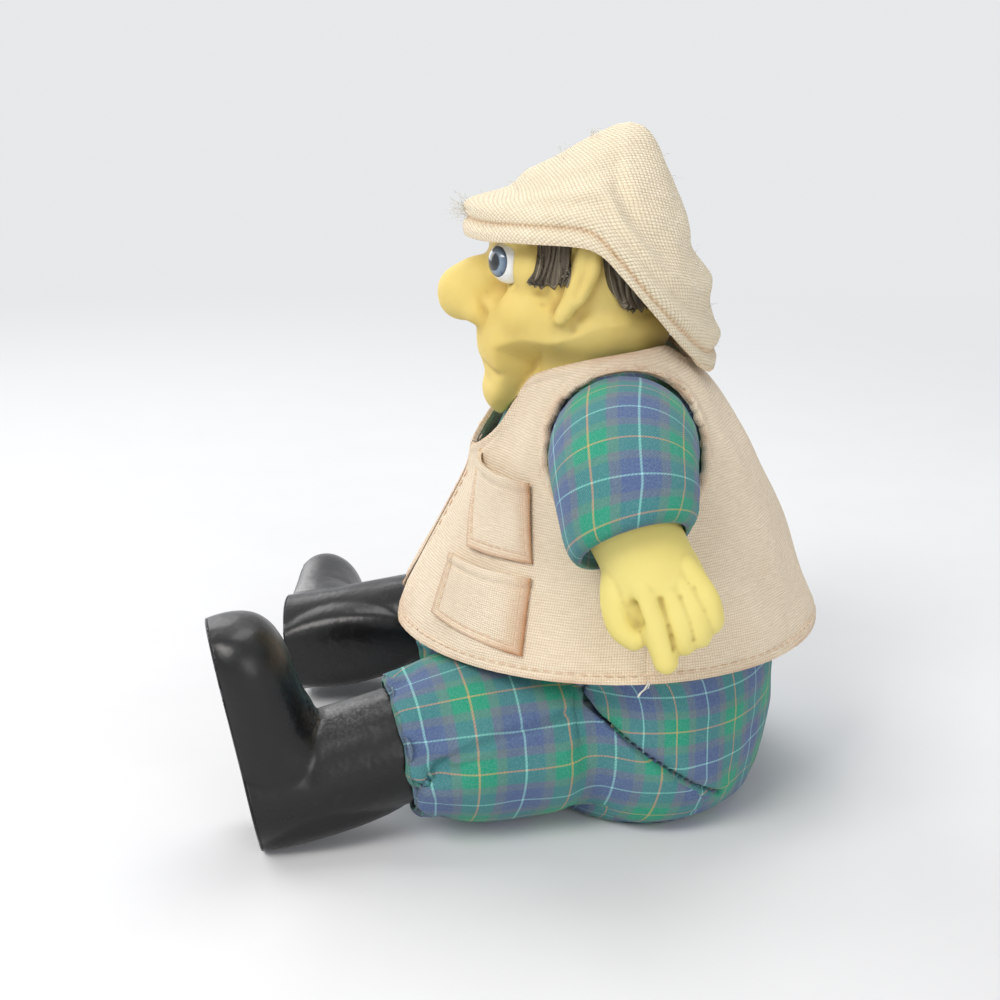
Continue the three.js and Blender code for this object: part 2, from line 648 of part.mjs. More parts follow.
function buildHead(group, room) {
  const form = headForm(0, 6);
  const eyeAt = [EYE_X, HEAD_Y - EYE_FRONT, HEAD_Z + EYE_UP];
  const eyes = (grow) => both(ball(EYE_RADIUS + grow, ...eyeAt));
  const head = form.subtract(room).subtract(eyes(FIT_GAP));
  piece(group, "head", largest(largest(head).add(neck())), skinPaint);
  const eye = solid(new THREE.SphereGeometry(EYE_RADIUS, 12, 8).translate(...eyeAt));
  piece(group, "eye_left", eye, eyePaint);
  piece(group, "eye_right", mirrored(eye), eyePaint);

  const hairCoat = headForm(HAIR_THICK + FIT_GAP, 5).subtract(headForm(FIT_GAP, 6));
  const sideburn = largest(hairCoat.intersect(sideCut(SIDEBURN, 0.215 * HEAD_WIDTH, FAR)).subtract(eyes(1)));
  piece(group, "sideburn_left", sideburn, hairPaint);
  piece(group, "sideburn_right", mirrored(sideburn), hairPaint);
  piece(group, "nape_hair", largest(hairCoat.intersect(sideCut(NAPE, -FAR, FAR)).subtract(room)), hairPaint);

  const inside = headForm(HAT_CLOTH_ROOM + FIT_GAP, 5);
  const hat = bag(hatRows).subtract(inside).subtract(room);
  piece(group, "hat_crown", largest(hat.intersect(aboveLine(RIM, BAND_HEIGHT + FIT_GAP))), canvas);
  const band = bag(hatRows, -0.5).subtract(inside).subtract(room).intersect(aboveLine(RIM, 0));
  piece(group, "hat_band", largest(band.subtract(aboveLine(RIM, BAND_HEIGHT))), canvas);
}

// Arm, in the frame of its shoulder seam with the arm along +X, for the left side

const cuffWay = vec(Math.sin(deg(FOREARM_LEAN)), 0, -Math.cos(deg(FOREARM_LEAN)));
const elbow = vec(UPPER_ARM, 0, 0);
const cuff = elbow.clone().addScaledVector(cuffWay, FOREARM);
const handWay = vec(Math.tan(deg(HAND_LEAN_OUT)), Math.tan(deg(HAND_LEAN_BACK)), -1).normalize();
const handTurn = new THREE.Quaternion().setFromUnitVectors(vec(0, 0, -1), handWay);
const handPlace = new THREE.Matrix4().compose(cuff.clone().sub(vec(HAND_IN, 0, 0)), handTurn, vec(1, 1, 1));

const placed = (made, matrix) => solid(geometryOf(made).applyMatrix4(matrix));

// Room in the cuff for the wrist, its tie and the hand as it twists.
function wristRoom() {
  const hole = WRIST_RADIUS + 2 * FIT_GAP;
  const mouth = CUFF_RADIUS * 0.75;
  const outer = -FOREARM * 0.9;
  const top = WRIST_STUB + FIT_GAP;
  const slope = WRIST_STUB * 0.24;
  return turned([
    [0, outer], [mouth, outer], [mouth, 0], [hole + 1, slope], [hole, slope * 1.5], [hole, top], [0, top],
  ]);
}

function sleeve() {
  const side = vec(0, 1, 0);
  const upper = [FIT_GAP, 2, UPPER_ARM * 0.5, UPPER_ARM].map((x, i) =>
    oval(vec(x, 0, 0), vec(0, ARM_RADIUS - (i ? 0 : 1), 0), vec(0, 0, ARM_RADIUS - (i ? 0 : 1)), 18),
  );
  const across = side.clone().cross(cuffWay);
  const lowerRing = (t, r) => {
    const middle = elbow.clone().addScaledVector(cuffWay, t * FOREARM);
    return oval(middle, side.clone().multiplyScalar(r), across.clone().multiplyScalar(r), 18);
  };
  const lower = [
    lowerRing(0, ARM_RADIUS),
    lowerRing(0.5, ARM_RADIUS),
    lowerRing(0.9, CUFF_RADIUS),
    lowerRing(1, CUFF_RADIUS - 0.6),
  ];
  const made = loft(upper).add(ball(ARM_RADIUS, elbow.x, elbow.y, elbow.z)).add(loft(lower));
  return largest(made.subtract(placed(wristRoom(), handPlace)));
}

// Left hand hanging along -Z from the wrist, its back facing +X and its thumb in front
function hand() {
  const palm = between(
    [
      { z: WRIST_STUB * 0.35, wide: WRIST_RADIUS * 1.03, deep: WRIST_RADIUS * 1.13 },
      { z: -PALM_LENGTH * 0.2, wide: PALM_THICK * 0.5, deep: PALM_WIDTH * 0.42 },
      { z: -PALM_LENGTH * 0.65, wide: PALM_THICK * 0.5, deep: PALM_WIDTH * 0.5 },
      { z: -PALM_LENGTH, wide: PALM_THICK * 0.42, deep: PALM_WIDTH * 0.47 },
      { z: -PALM_LENGTH * 1.12, wide: PALM_THICK * 0.26, deep: PALM_WIDTH * 0.34 },
    ],
    1,
  );
  const r = FINGER_RADIUS;
  const low = -PALM_LENGTH;
  const inR = (x, y, z) => vec(x * r, y * r, low + z * r);
  const parts = [finger([inR(0.35, -0.14, 1), inR(-0.17, 0, -1.6)], [r, r * 0.85])];
  for (const k of [0, 1, 2]) {
    const y = lerp(PALM_WIDTH * 0.2, PALM_WIDTH * 0.5 - r * 0.7, k / 2) / r;
    const knuckle = -0.9 + k * 0.48;
    const bent = [inR(0.7, y, 1.4), inR(0.35, y, knuckle), inR(-1.45, y, knuckle + 0.62)];
    parts.push(finger(bent, [r, r, r * 0.85]));
  }
  const thumb = (-PALM_WIDTH * 0.42) / r;
  const thumbLine = [inR(-0.35, thumb + 0.35, 3.1), inR(0.2, thumb, 0), inR(0.35, thumb + 0.83, -0.9)];
  parts.push(finger(thumbLine, [r * 1.15, r, r * 0.8]));
  const groove = WRIST_RADIUS - WRIST_GROOVE;
  const at = (part) => WRIST_STUB * part;
  const full = WRIST_RADIUS;
  const stub = turned([
    [0, at(-0.12)], [full, at(-0.12)], [full, at(0.35)], [groove, at(0.39)],
    [groove, at(0.7)], [full, at(0.74)], [full, WRIST_STUB], [0, WRIST_STUB],
  ], 12);
  const palmForm = loft(palm.map((p) => oval(vec(0, 0, p.z), vec(p.wide, 0, 0), vec(0, p.deep, 0), 14)));
  return largest(parts.reduce((sum, f) => sum.add(f), palmForm.add(stub)));
}

function buildArm(group, side, flip) {
  const place = new THREE.Matrix4().makeTranslation(ARM_X, ARM_Y, ARM_Z);
  const handAt = place.clone().multiply(handPlace);
  const add = (name, made, paint) => piece(group, `${name}_${side}`, flip ? mirrored(made) : made, paint);
  add("sleeve", placed(sleeve(), place), tartan);
  const ring = tie(WRIST_RADIUS - WRIST_GROOVE + FIT_GAP, TIE_RADIUS * 0.8);
  add("wrist_tie", placed(ring.translate(0, 0, WRIST_STUB * 0.547), handAt), cordWhite);
  add("hand", placed(hand(), handAt), skinPaint);
}

// Leg, in the frame of its hip with the leg along -Y, for the left side

const tilt = deg(BOOT_TILT);
const cuffZ = (SHAFT_LENGTH - ANKLE_IN) * Math.sin(tilt) + HEEL_BACK * Math.cos(tilt);
// Place of a boot in the frame of its hip: turned inwards, tilted, then rolled about its own shaft.
function bootPlace(turn, roll) {
  const place = new THREE.Matrix4().makeTranslation(0, -LEG_LENGTH, cuffZ - HIP_Z);
  place.multiply(new THREE.Matrix4().makeRotationZ(deg(-turn)));
  place.multiply(new THREE.Matrix4().makeRotationX(tilt - Math.PI / 2));
  return place.multiply(new THREE.Matrix4().makeRotationZ(deg(roll)));
}

// Room in the trouser cuff for the boot top, its tie and its stub.
function ankleRoom() {
  const hole = ANKLE_RADIUS + FIT_GAP;
  const wide = SHAFT_RADIUS + TURN_GAP;
  const [outer, ledge, top] = [-LEG_RADIUS / 2, ANKLE_IN + FIT_GAP, ANKLE_STUB + FIT_GAP];
  return turned([[0, outer], [wide, outer], [wide, ledge], [hole, ledge], [hole, top], [0, top]]);
}

function trouserLeg(turn) {
  const rise = cuffZ - HIP_Z;
  const bend = deg(turn);
  const aside = LEG_LENGTH * Math.tan(bend); // keeps the cuff round the turned boot
  const row = (along, over, up, r, lean, part) => ({
    s: LEG_LENGTH * along,
    x: aside * over,
    z: rise * up,
    r,
    lean: tilt * lean,
    turn: bend * part,
  });
  const rows = between(
    [
      row(0.1, 0, 0, HIP_RADIUS * 0.98, 0, 0),
      row(0.35, 0, 0, HIP_RADIUS * 0.99, 0, 0),
      row(0.62, 0.04, 0.15, HIP_RADIUS * 0.97, 0, 0.3),
      row(0.84, 0.09, 0.8, LEG_RADIUS * 1.09, 0.6, 0.8),
      row(0.95, 0.05, 1.05, LEG_RADIUS, 1, 1),
      row(1, 0, 1, LEG_RADIUS - 0.4, 1, 1),
    ],
    1,
  );
  const up = vec(0, 0, 1);
  const tube = loft(
    rows.map((q) => {
      const across = vec(q.r, 0, 0).applyAxisAngle(up, -q.turn);
      const high = vec(0, -q.r * Math.sin(q.lean), q.r * Math.cos(q.lean)).applyAxisAngle(up, -q.turn);
      return oval(vec(q.x, -q.s, q.z), across, high, 18);
    }),
  );
  return largest(ball(HIP_RADIUS).add(tube).subtract(placed(ankleRoom(), bootPlace(turn, 0))));
}

// Boot standing on its sole with the toe towards -Y, its cuff at z = 0
function boot() {
  const sole = ANKLE_IN - SHAFT_LENGTH;
  const toe = HEEL_BACK - SOLE_LENGTH;
  const half = SOLE_WIDTH / 2;
  const foot = between(
    [
      { y: HEEL_BACK - 0.3, wide: half * 0.4, high: TOE_HEIGHT * 0.643 },
      { y: HEEL_BACK - 3, wide: half * 0.8, high: TOE_HEIGHT },
      { y: 0, wide: half * 0.95, high: TOE_HEIGHT * 1.286 },
      { y: lerp(0, toe, 0.45), wide: half * 0.97, high: TOE_HEIGHT * 1.143 },
      { y: lerp(0, toe, 0.78), wide: half, high: TOE_HEIGHT },
      { y: toe + 1.8, wide: half * 0.7, high: TOE_HEIGHT * 0.8 },
      { y: toe + 0.2, wide: half * 0.3, high: TOE_HEIGHT * 0.5 },
    ],
    1,
  );
  const footForm = loft(
    foot.map((f) => oval(vec(0, f.y, sole + f.high * 0.4), vec(f.wide, 0, 0), vec(0, 0, f.high * 0.6), 18)),
  );
  const shaft = [
    [sole, SHAFT_RADIUS * 0.98, 0.2],
    [lerp(sole, 0, 0.3), SHAFT_RADIUS * 0.96, 0],
    [lerp(sole, 0, 0.7), SHAFT_RADIUS * 0.98, 0],
    [ANKLE_IN, SHAFT_RADIUS, 0],
  ].map(([z, r, y]) => oval(vec(0, y, z), vec(r, 0, 0), vec(0, r, 0), 20));
  const rise = [vec(0, 1, sole + TOE_HEIGHT * 1.07), vec(0, toe * 0.5, sole + TOE_HEIGHT * 0.75)];
  const instep = finger(rise, [SHAFT_RADIUS * 0.8, TOE_HEIGHT * 0.386], 12);
  const groove = ANKLE_RADIUS - ANKLE_GROOVE;
  const [step, end] = [ANKLE_STUB * 0.667, ANKLE_STUB];
  const full = ANKLE_RADIUS;
  const stub = turned([[0, 0], [groove, 0], [groove, step], [full, step + 0.6], [full, end], [0, end]]);
  return largest(footForm.add(loft(shaft)).add(instep).add(stub).subtract(slab(sole - FAR, sole)));
}

function buildLeg(group, side, flip, { splay, turn, roll }) {
  const spin = new THREE.Matrix4().makeRotationZ(deg(splay));
  const hip = new THREE.Matrix4().makeTranslation(HIP_X, HIP_Y, HIP_Z).multiply(spin);
  const bootAt = hip.clone().multiply(bootPlace(turn, roll));
  const tieAt = hip.clone().multiply(bootPlace(turn, 0));
  const add = (name, made, paint) => piece(group, `${name}_${side}`, flip ? mirrored(made) : made, paint);
  const ring = tie(ANKLE_RADIUS - ANKLE_GROOVE + FIT_GAP).translate(0, 0, ANKLE_IN / 2 + ANKLE_STUB * 0.35);
  add("trouser_leg", placed(trouserLeg(turn), hip), tartan);
  add("ankle_tie", placed(ring, tieAt), cordWhite);
  add("boot", placed(boot(), bootAt), bootPaint);
}

const figurine = new THREE.Group();
figurine.name = "fisherman_figurine";
const room = collarRoom();
buildBody(figurine);
buildVest(figurine);
buildHead(figurine, room);
buildArm(figurine, "left", false);
buildArm(figurine, "right", true);
buildLeg(figurine, "left", false, { splay: SPLAY_LEFT, turn: BOOT_TURN_LEFT, roll: 0 });
buildLeg(figurine, "right", true, { splay: SPLAY_RIGHT, turn: BOOT_TURN_RIGHT, roll: BOOT_ROLL_RIGHT });

export default figurine;
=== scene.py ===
import bisect
import math

import bmesh
import bpy
import numpy as np
from mathutils import Matrix, Vector, noise
from mathutils.bvhtree import BVHTree


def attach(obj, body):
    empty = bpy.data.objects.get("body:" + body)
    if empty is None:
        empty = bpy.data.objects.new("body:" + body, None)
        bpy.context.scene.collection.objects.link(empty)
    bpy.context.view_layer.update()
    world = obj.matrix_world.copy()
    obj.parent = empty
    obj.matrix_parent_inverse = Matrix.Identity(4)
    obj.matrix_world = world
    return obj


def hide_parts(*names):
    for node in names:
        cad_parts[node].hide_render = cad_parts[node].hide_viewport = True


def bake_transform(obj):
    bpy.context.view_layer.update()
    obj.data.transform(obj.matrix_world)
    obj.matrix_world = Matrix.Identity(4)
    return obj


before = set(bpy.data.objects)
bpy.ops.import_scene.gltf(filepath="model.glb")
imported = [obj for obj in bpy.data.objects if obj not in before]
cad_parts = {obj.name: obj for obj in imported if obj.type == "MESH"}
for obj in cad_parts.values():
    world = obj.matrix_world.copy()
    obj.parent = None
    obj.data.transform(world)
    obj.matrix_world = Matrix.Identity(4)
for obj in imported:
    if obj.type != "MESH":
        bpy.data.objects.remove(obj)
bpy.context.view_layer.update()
scene = bpy.context.scene

# Sizes below are in millimetres unless a name says otherwise.
MM = 0.001
FLAT = 0.1  # cloth maps are in centimetres
SIDES = {"left": 1, "right": -1}

# The waistcoat's height, half width, half depth and middle, and its neckline as y and z
VEST_ROWS = [(37, 45.25, 45.75, 1.3), (65, 36.5, 33.1, 3.1), (88, 29.5, 20.75, 2.3),
             (97, 20.06, 12.45, 1.0), (100, 10.03, 5.81, 1.0)]
NECKLINE = [(-30, 68.6), (-21, 79.6), (-16.9, 86.4), (-12.5, 92.2), (-1.7, 96.4), (10.5, 97),
            (18.8, 92.8), (26, 91)]
HEM_Z = 37
SEAM_IN = 1.75  # from the edge of a panel to its stitches
VEST_ROUND = 41  # radius at which the waistcoat is unrolled for its weave
ARMHOLE = (3.2, 78.8, 15.6)  # y, z and radius
ARM = Vector((27, 3.2, 80))
UPPER_ARM = 14.5
FOREARM = 15.4
ARM_LEAN = math.radians(34)  # the forearm's, outwards from straight down
CUFF_TIP = math.radians(20)
HIP = Vector((20.5, -8, 18.5))
HIP_RADIUS = 17.1
HIP_SPREAD = 19.4  # half width of the hip, seen from above
LEG_LENGTH = 36
LEG_GIRTH = 105
LEG_TURNS = {"left": (20, 7), "right": (26, 24)}  # degrees: splay at the hip and turn of the cuff
BOOT_ROLLS = {"left": 0, "right": 88}  # degrees
BOOT_TILT = math.radians(10)
BOOT_HEIGHT = 32
HEEL_REACH = 13.2
CUFF_Z = BOOT_HEIGHT * math.sin(BOOT_TILT) + HEEL_REACH * math.cos(BOOT_TILT)
NECK_Y = 0.5
HEAD_TURN = 15
EYE = Vector((9.6, -19.3, 113.4))
EYE_RADIUS = 4.5


def rgb(red, green, blue):
    """A colour as picked on a screen, made linear."""
    parts = [c / 255 for c in (red, green, blue)]
    return (*[c / 12.92 if c < 0.04 else ((c + 0.055) / 1.055) ** 2.4 for c in parts], 1)


def mix(a, b, t):
    return a + (b - a) * t


def bump(x, middle, width):
    """A soft hump of height 1."""
    return math.exp(-(((x - middle) / width) ** 2))


def wave(point, scale, seed=0.0):
    """Smooth noise from -1 to 1; the point and the scale are in millimetres."""
    return noise.noise(Vector(point) / scale + Vector((seed, 2.7 * seed, 0.31)))


def through(stations):
    """A smooth curve through rows of numbers, as a function of 0 to 1."""
    last = len(stations) - 1

    def at(t):
        k = min(int(t * last), last - 1)
        s = t * last - k
        ease = s * s * (3 - 2 * s)
        row = []
        for before, a, b, after in zip(stations[max(k - 1, 0)], stations[k], stations[k + 1],
                                       stations[min(k + 2, last)]):
            leave, arrive = (b - before) / 2, (after - a) / 2
            row.append(a + (b - a) * ease + s * (1 - s) * ((1 - s) * leave - s * arrive))
        return row

    return at


def by_first(stations, steps=300):
    """The smooth curve through the stations, looked up by its first, rising number."""
    curve = through(stations)
    rows = [curve(i / steps) for i in range(steps + 1)]
    keys = [r[0] for r in rows]

    def at(x):
        k = min(max(bisect.bisect(keys, x), 1), steps)
        a, b = rows[k - 1], rows[k]
        t = min(max((x - a[0]) / (b[0] - a[0]), 0), 1)
        return [mix(p, q, t) for p, q in zip(a[1:], b[1:])]

    return at


def solve(rises, low, high):
    """Where a rising function of one number crosses zero."""
    for _ in range(40):
        middle = (low + high) / 2
        low, high = (low, middle) if rises(middle) > 0 else (middle, high)
    return (low + high) / 2


# Camera and lamps


def set_camera():
    target = Vector((0, -21.5, 60.5)) * MM
    lean = math.radians(17)
    distance = 0.345  # metres
    data = bpy.data.cameras.new("camera")
    data.sensor_width = 36
    data.lens = 57.6
    data.clip_start = 0.01
    camera = bpy.data.objects.new("camera", data)
    camera.location = target + distance * Vector((math.cos(lean), 0, math.sin(lean)))
    camera.rotation_euler = (target - camera.location).to_track_quat("-Z", "Y").to_euler()
    scene.collection.objects.link(camera)
    scene.camera = camera


def area_light(name, place, size, power, colour=(1, 1, 1)):
    data = bpy.data.lights.new(name, "AREA")
    data.size = size
    data.energy = power
    data.color = colour
    lamp = bpy.data.objects.new(name, data)
    lamp.location = place
    lamp.rotation_euler = (Vector((0, 0, 0.06)) - lamp.location).to_track_quat("-Z", "Y").to_euler()
    scene.collection.objects.link(lamp)


# Finishes


VECTOR, FLOAT, COLOUR = "NodeSocketVector", "NodeSocketFloat", "NodeSocketColor"


def feed(tree, socket, value):
    """Links a socket to another one, or sets its value."""
    if isinstance(value, bpy.types.NodeSocket):
        tree.links.new(value, socket)
    else:
        socket.default_value = value


def node(tree, kind, values=None, **settings):
    made = tree.nodes.new(kind)
    for name, value in settings.items():
        setattr(made, name, value)
    for name, value in (values or {}).items():
        feed(tree, made.inputs[name], value)
    return made


def calc(tree, operation, *values):
    return node(tree, "ShaderNodeMath", dict(enumerate(values)), operation=operation).outputs[0]


def times(tree, value, factor):
    return calc(tree, "MULTIPLY", value, factor)


def spread(tree, value, low, high, start=0.0, end=1.0):
    """Turns a value between low and high into one between start and end."""
    values = {0: value, 1: low, 2: high, 3: start, 4: end}
    return node(tree, "ShaderNodeMapRange", values).outputs[0]


def blend(tree, share, low, high):
    """A colour between two colours."""
    made = node(tree, "ShaderNodeMix", data_type="RGBA")
    for name, value in (("Factor", share), ("A", low), ("B", high)):
        feed(tree, next(s for s in made.inputs if s.name == name and s.enabled), value)
    return next(s for s in made.outputs if s.enabled)


def ramp(tree, share, stops):
    """A colour ramp; stops are (place, colour)."""
    made = node(tree, "ShaderNodeValToRGB", {0: share})
    band = made.color_ramp.elements
    while len(band) < len(stops):
        band.new(0.5)
    for element, (place, colour) in zip(band, stops):
        element.position = place
        element.color = colour
    return made.outputs[0]


def noise_value(tree, vector, scale, detail=3, rough=0.55):
    values = {"Vector": vector, "Scale": scale, "Detail": detail, "Roughness": rough}
    return node(tree, "ShaderNodeTexNoise", values).outputs["Fac"]


def group(name, inputs, outputs):
    """An empty node group. An input is a number with its usual value, or a vector where that is None."""
    tree = bpy.data.node_groups.new(name, "ShaderNodeTree")
    for title, value in inputs.items():
        kind = VECTOR if value is None else FLOAT
        socket = tree.interface.new_socket(title, in_out="INPUT", socket_type=kind)
        if value is not None:
            socket.default_value = value
    for title, kind in outputs.items():
        tree.interface.new_socket(title, in_out="OUTPUT", socket_type=kind)
    start = tree.nodes.new("NodeGroupInput")
    end = tree.nodes.new("NodeGroupOutput")
    return tree, start.outputs, end.inputs


def weave_group():
    """Plain weave: the height of the threads and the gaps between them."""
    tree, given, wanted = group("plain_weave", {"Cloth": None, "Pitch": 0.06, "Slub": 0.3},
                                {"Height": FLOAT, "Gap": FLOAT})
    parts = node(tree, "ShaderNodeSeparateXYZ", {0: given["Cloth"]}).outputs
    drift = times(tree, noise_value(tree, given["Cloth"], 5.0, 2), given["Slub"])
    lobes = []
    for part in (parts[0], parts[1]):
        turns = calc(tree, "ADD", calc(tree, "DIVIDE", part, given["Pitch"]), drift)
        lobes.append(calc(tree, "SINE", times(tree, turns, math.pi)))
    warp, weft = [calc(tree, "ABSOLUTE", lobe) for lobe in lobes]
    over = calc(tree, "GREATER_THAN", times(tree, *lobes), 0.0)
    along = times(tree, warp, calc(tree, "MULTIPLY_ADD", weft, 0.6, 0.4))
    across = times(tree, weft, calc(tree, "MULTIPLY_ADD", warp, 0.6, 0.4))
    height = node(tree, "ShaderNodeMix", {0: over, 2: across, 3: along}, data_type="FLOAT").outputs[0]
    tree.links.new(height, wanted["Height"])
    tree.links.new(spread(tree, height, 0.05, 0.5, 1.0, 0.0), wanted["Gap"])
    return tree


def tartan_group():
    """A green and blue check with thin yellow and pale blue lines, woven in twill."""
    tree, given, wanted = group("tartan_check", {"Cloth": None, "Repeat": 1.83, "Rise": 1.5},
                                {"Colour": COLOUR, "Height": FLOAT})
    green, mauve, blue = rgb(0, 148, 112), rgb(104, 114, 124), rgb(76, 90, 140)
    yellow, pale = rgb(214, 170, 92), rgb(160, 220, 226)
    half = [(0, yellow), (0.008, yellow), (0.014, green), (0.175, green), (0.2, mauve), (0.285, mauve),
            (0.31, blue), (0.486, blue), (0.492, pale)]
    stops = half + [(1 - place, colour) for place, colour in reversed(half)]
    parts = node(tree, "ShaderNodeSeparateXYZ", {0: given["Cloth"]}).outputs
    shares = [calc(tree, "FRACT", calc(tree, "DIVIDE", parts[0], given["Repeat"])),
              calc(tree, "FRACT", calc(tree, "DIVIDE", parts[1], given["Rise"]))]
    warp, weft = [ramp(tree, share, stops) for share in shares]
    thread = 0.017  # width of a thread, in centimetres
    picks = [calc(tree, "FLOOR", calc(tree, "DIVIDE", part, thread)) for part in (parts[0], parts[1])]
    step = calc(tree, "FRACT", times(tree, calc(tree, "ADD", *picks), 0.25))
    over = calc(tree, "GREATER_THAN", step, 0.3)
    fuzz = noise_value(tree, given["Cloth"], 60.0, 2)
    share = spread(tree, calc(tree, "ADD", over, times(tree, fuzz, 0.5)), 0.0, 1.5, 0.26, 0.7)
    slant = times(tree, calc(tree, "ADD", parts[0], parts[1]), 52)
    ribs = calc(tree, "ABSOLUTE", calc(tree, "SINE", slant))
    tree.links.new(blend(tree, share, warp, weft), wanted["Colour"])
    tree.links.new(calc(tree, "ADD", ribs, fuzz), wanted["Height"])
    return tree


def wear_group():
    """Patchy dust and small flecks, by place on the piece."""
    tree, given, wanted = group("dust_and_flecks", {"Place": None, "Dust": 0.5, "Flecks": 0.5},
                                {"Dust": FLOAT, "Flecks": FLOAT})
    broad = noise_value(tree, given["Place"], 55.0, 6, 0.62)
    low = calc(tree, "SUBTRACT", 0.82, times(tree, given["Dust"], 0.4))
    fine = noise_value(tree, given["Place"], 900.0, 2, 0.6)
    rare = calc(tree, "SUBTRACT", 0.9, times(tree, given["Flecks"], 0.2))
    tree.links.new(spread(tree, broad, low, 0.86), wanted["Dust"])
    tree.links.new(spread(tree, fine, rare, 0.84), wanted["Flecks"])
    return tree


WEAVE = weave_group()
TARTAN = tartan_group()
WEAR = wear_group()


def new_material(name):
    made = bpy.data.materials.new(name)
    made.use_nodes = True
    tree = made.node_tree
    return made, tree, tree.nodes["Principled BSDF"]


def set_surface(tree, surface, values):
    for name, value in values.items():
        feed(tree, surface.inputs[name], value)


def relief(tree, height, distance, strength=0.6):
    """A surface normal from a height."""
    values = {"Height": height, "Distance": distance, "Strength": strength}
    return node(tree, "ShaderNodeBump", values).outputs[0]


def place_of(tree):
    return node(tree, "ShaderNodeTexCoord").outputs["Object"]


def cloth_of(tree):
    return node(tree, "ShaderNodeUVMap", uv_map="cloth").outputs[0]


def mark(tree, name):
    """A mask painted on the points of the mesh."""
    return node(tree, "ShaderNodeAttribute", attribute_name=name).outputs["Fac"]


def canvas_finish(name, light, gap_colour, stain_and_shade_colour, pitch, depth):
    """Unbleached canvas with stains along its seams; on the cap the same mark also holds painted shade along
    the crease.
    """
    made, tree, surface = new_material(name)
    weave = node(tree, "ShaderNodeGroup", {"Cloth": cloth_of(tree), "Pitch": pitch}, node_tree=WEAVE)
    mottle = noise_value(tree, place_of(tree), 90.0, 4)
    drawn = node(tree, "ShaderNodeVectorMath", {0: cloth_of(tree), 1: (1.6, 14, 1)}, operation="MULTIPLY")
    slubs = noise_value(tree, drawn.outputs[0], 2.2, 3)
    tone = blend(tree, spread(tree, slubs, 0.42, 0.72, 0.0, 0.35), light, gap_colour)
    tone = blend(tree, times(tree, weave.outputs["Gap"], 0.8), tone, gap_colour)
    # stains, and on the cap painted shade along the crease
    stain_and_shade_share = times(tree, mark(tree, "stain_and_shade"), calc(tree, "ADD", mottle, 0.45))
    tone = blend(tree, stain_and_shade_share, tone, stain_and_shade_colour)
    soft = spread(tree, mottle, 0.3, 0.7, 0.0, 0.16)
    set_surface(tree, surface, {"Base Color": blend(tree, soft, tone, gap_colour), "Roughness": 0.92,
                                "Specular IOR Level": 0.2, "Sheen Weight": 0.12,
                                "Normal": relief(tree, weave.outputs["Height"], depth)})
    return made


def tartan_finish():
    made, tree, surface = new_material("tartan_twill")
    check = node(tree, "ShaderNodeGroup", {"Cloth": cloth_of(tree)}, node_tree=TARTAN)
    worn = noise_value(tree, place_of(tree), 120.0, 4)
    nap = noise_value(tree, place_of(tree), 2600.0, 3, 0.7)
    faded = calc(tree, "ADD", spread(tree, nap, 0.42, 0.68, 0.0, 0.26), times(tree, worn, 0.16))
    tone = blend(tree, faded, check.outputs["Colour"], rgb(132, 166, 168))
    # dark navy for the seam thread, and painted shade inside the cuffs and along the tuck
    tone = blend(tree, times(tree, mark(tree, "stain_and_shade"), 0.8), tone, rgb(18, 28, 40))
    set_surface(tree, surface, {"Base Color": tone, "Roughness": 0.88, "Specular IOR Level": 0.25,
                                "Sheen Weight": 0.1,
                                "Normal": relief(tree, check.outputs["Height"], 0.00012, 0.5)})
    return made


def skin_finish(name, light, shade, deep):
    """Matte paint on cast resin, with painted shade in the hollows."""
    made, tree, surface = new_material(name)
    place = place_of(tree)
    wear = node(tree, "ShaderNodeGroup", {"Place": place, "Dust": 0.35, "Flecks": 0.1}, node_tree=WEAR)
    broad = noise_value(tree, place, 70.0, 4)
    tone = blend(tree, spread(tree, broad, 0.35, 0.7, 0.0, 0.6), light, shade)
    # painted shade: the hollows darken towards the deep colour
    tone = blend(tree, mark(tree, "hollow"), tone, deep)
    # patchy dust, also towards the deep colour
    tone = blend(tree, times(tree, wear.outputs["Dust"], 0.25), tone, deep)
    rough = spread(tree, broad, 0.3, 0.7, 0.5, 0.68)
    set_surface(tree, surface, {"Base Color": tone, "Roughness": rough, "Specular IOR Level": 0.35,
                                "Normal": relief(tree, noise_value(tree, place, 420.0, 4), 0.00025, 0.35)})
    return made


def hair_finish():
    """Dark paint, paler on its raised ridges and darker in the grooves between them."""
    made, tree, surface = new_material("hair_paint")
    drawn = node(tree, "ShaderNodeMapping", {"Vector": place_of(tree), "Scale": (900, 900, 90)},
                 vector_type="POINT")
    streak = noise_value(tree, drawn.outputs[0], 1.0, 3)
    ridge = times(tree, mark(tree, "ridge"), calc(tree, "ADD", streak, 0.35))
    tone = ramp(tree, ridge, [(0.1, rgb(48, 40, 32)), (0.5, rgb(104, 94, 78)), (0.95, rgb(158, 150, 132))])
    set_surface(tree, surface, {"Base Color": tone, "Roughness": 0.62,
                                "Normal": relief(tree, streak, 0.0002, 0.5)})
    return made


def eye_finish():
    """Gloss white with a painted blue-grey iris, by the angle from the gaze; the white carries painted shade
    towards the back.
    """
    made, tree, surface = new_material("eye_gloss")
    gaze = mark(tree, "gaze")
    rays = noise_value(tree, place_of(tree), 1500.0, 2)
    ring = calc(tree, "ADD", gaze, times(tree, calc(tree, "SUBTRACT", rays, 0.5), 0.012))
    # painted shade: the white darkens towards the back of the ball, where it sits in the socket
    white = [(0.0, rgb(206, 208, 206)), (0.6, rgb(232, 235, 236)), (0.862, rgb(236, 239, 241))]
    iris = [(0.872, rgb(36, 48, 62)), (0.893, rgb(84, 104, 128)), (0.955, rgb(128, 148, 168))]
    pupil = [(0.965, rgb(30, 40, 52)), (0.98, rgb(16, 20, 28))]
    set_surface(tree, surface, {"Base Color": ramp(tree, ring, white + iris + pupil), "Roughness": 0.08,
                                "Coat Weight": 0.6, "Coat Roughness": 0.05})
    return made


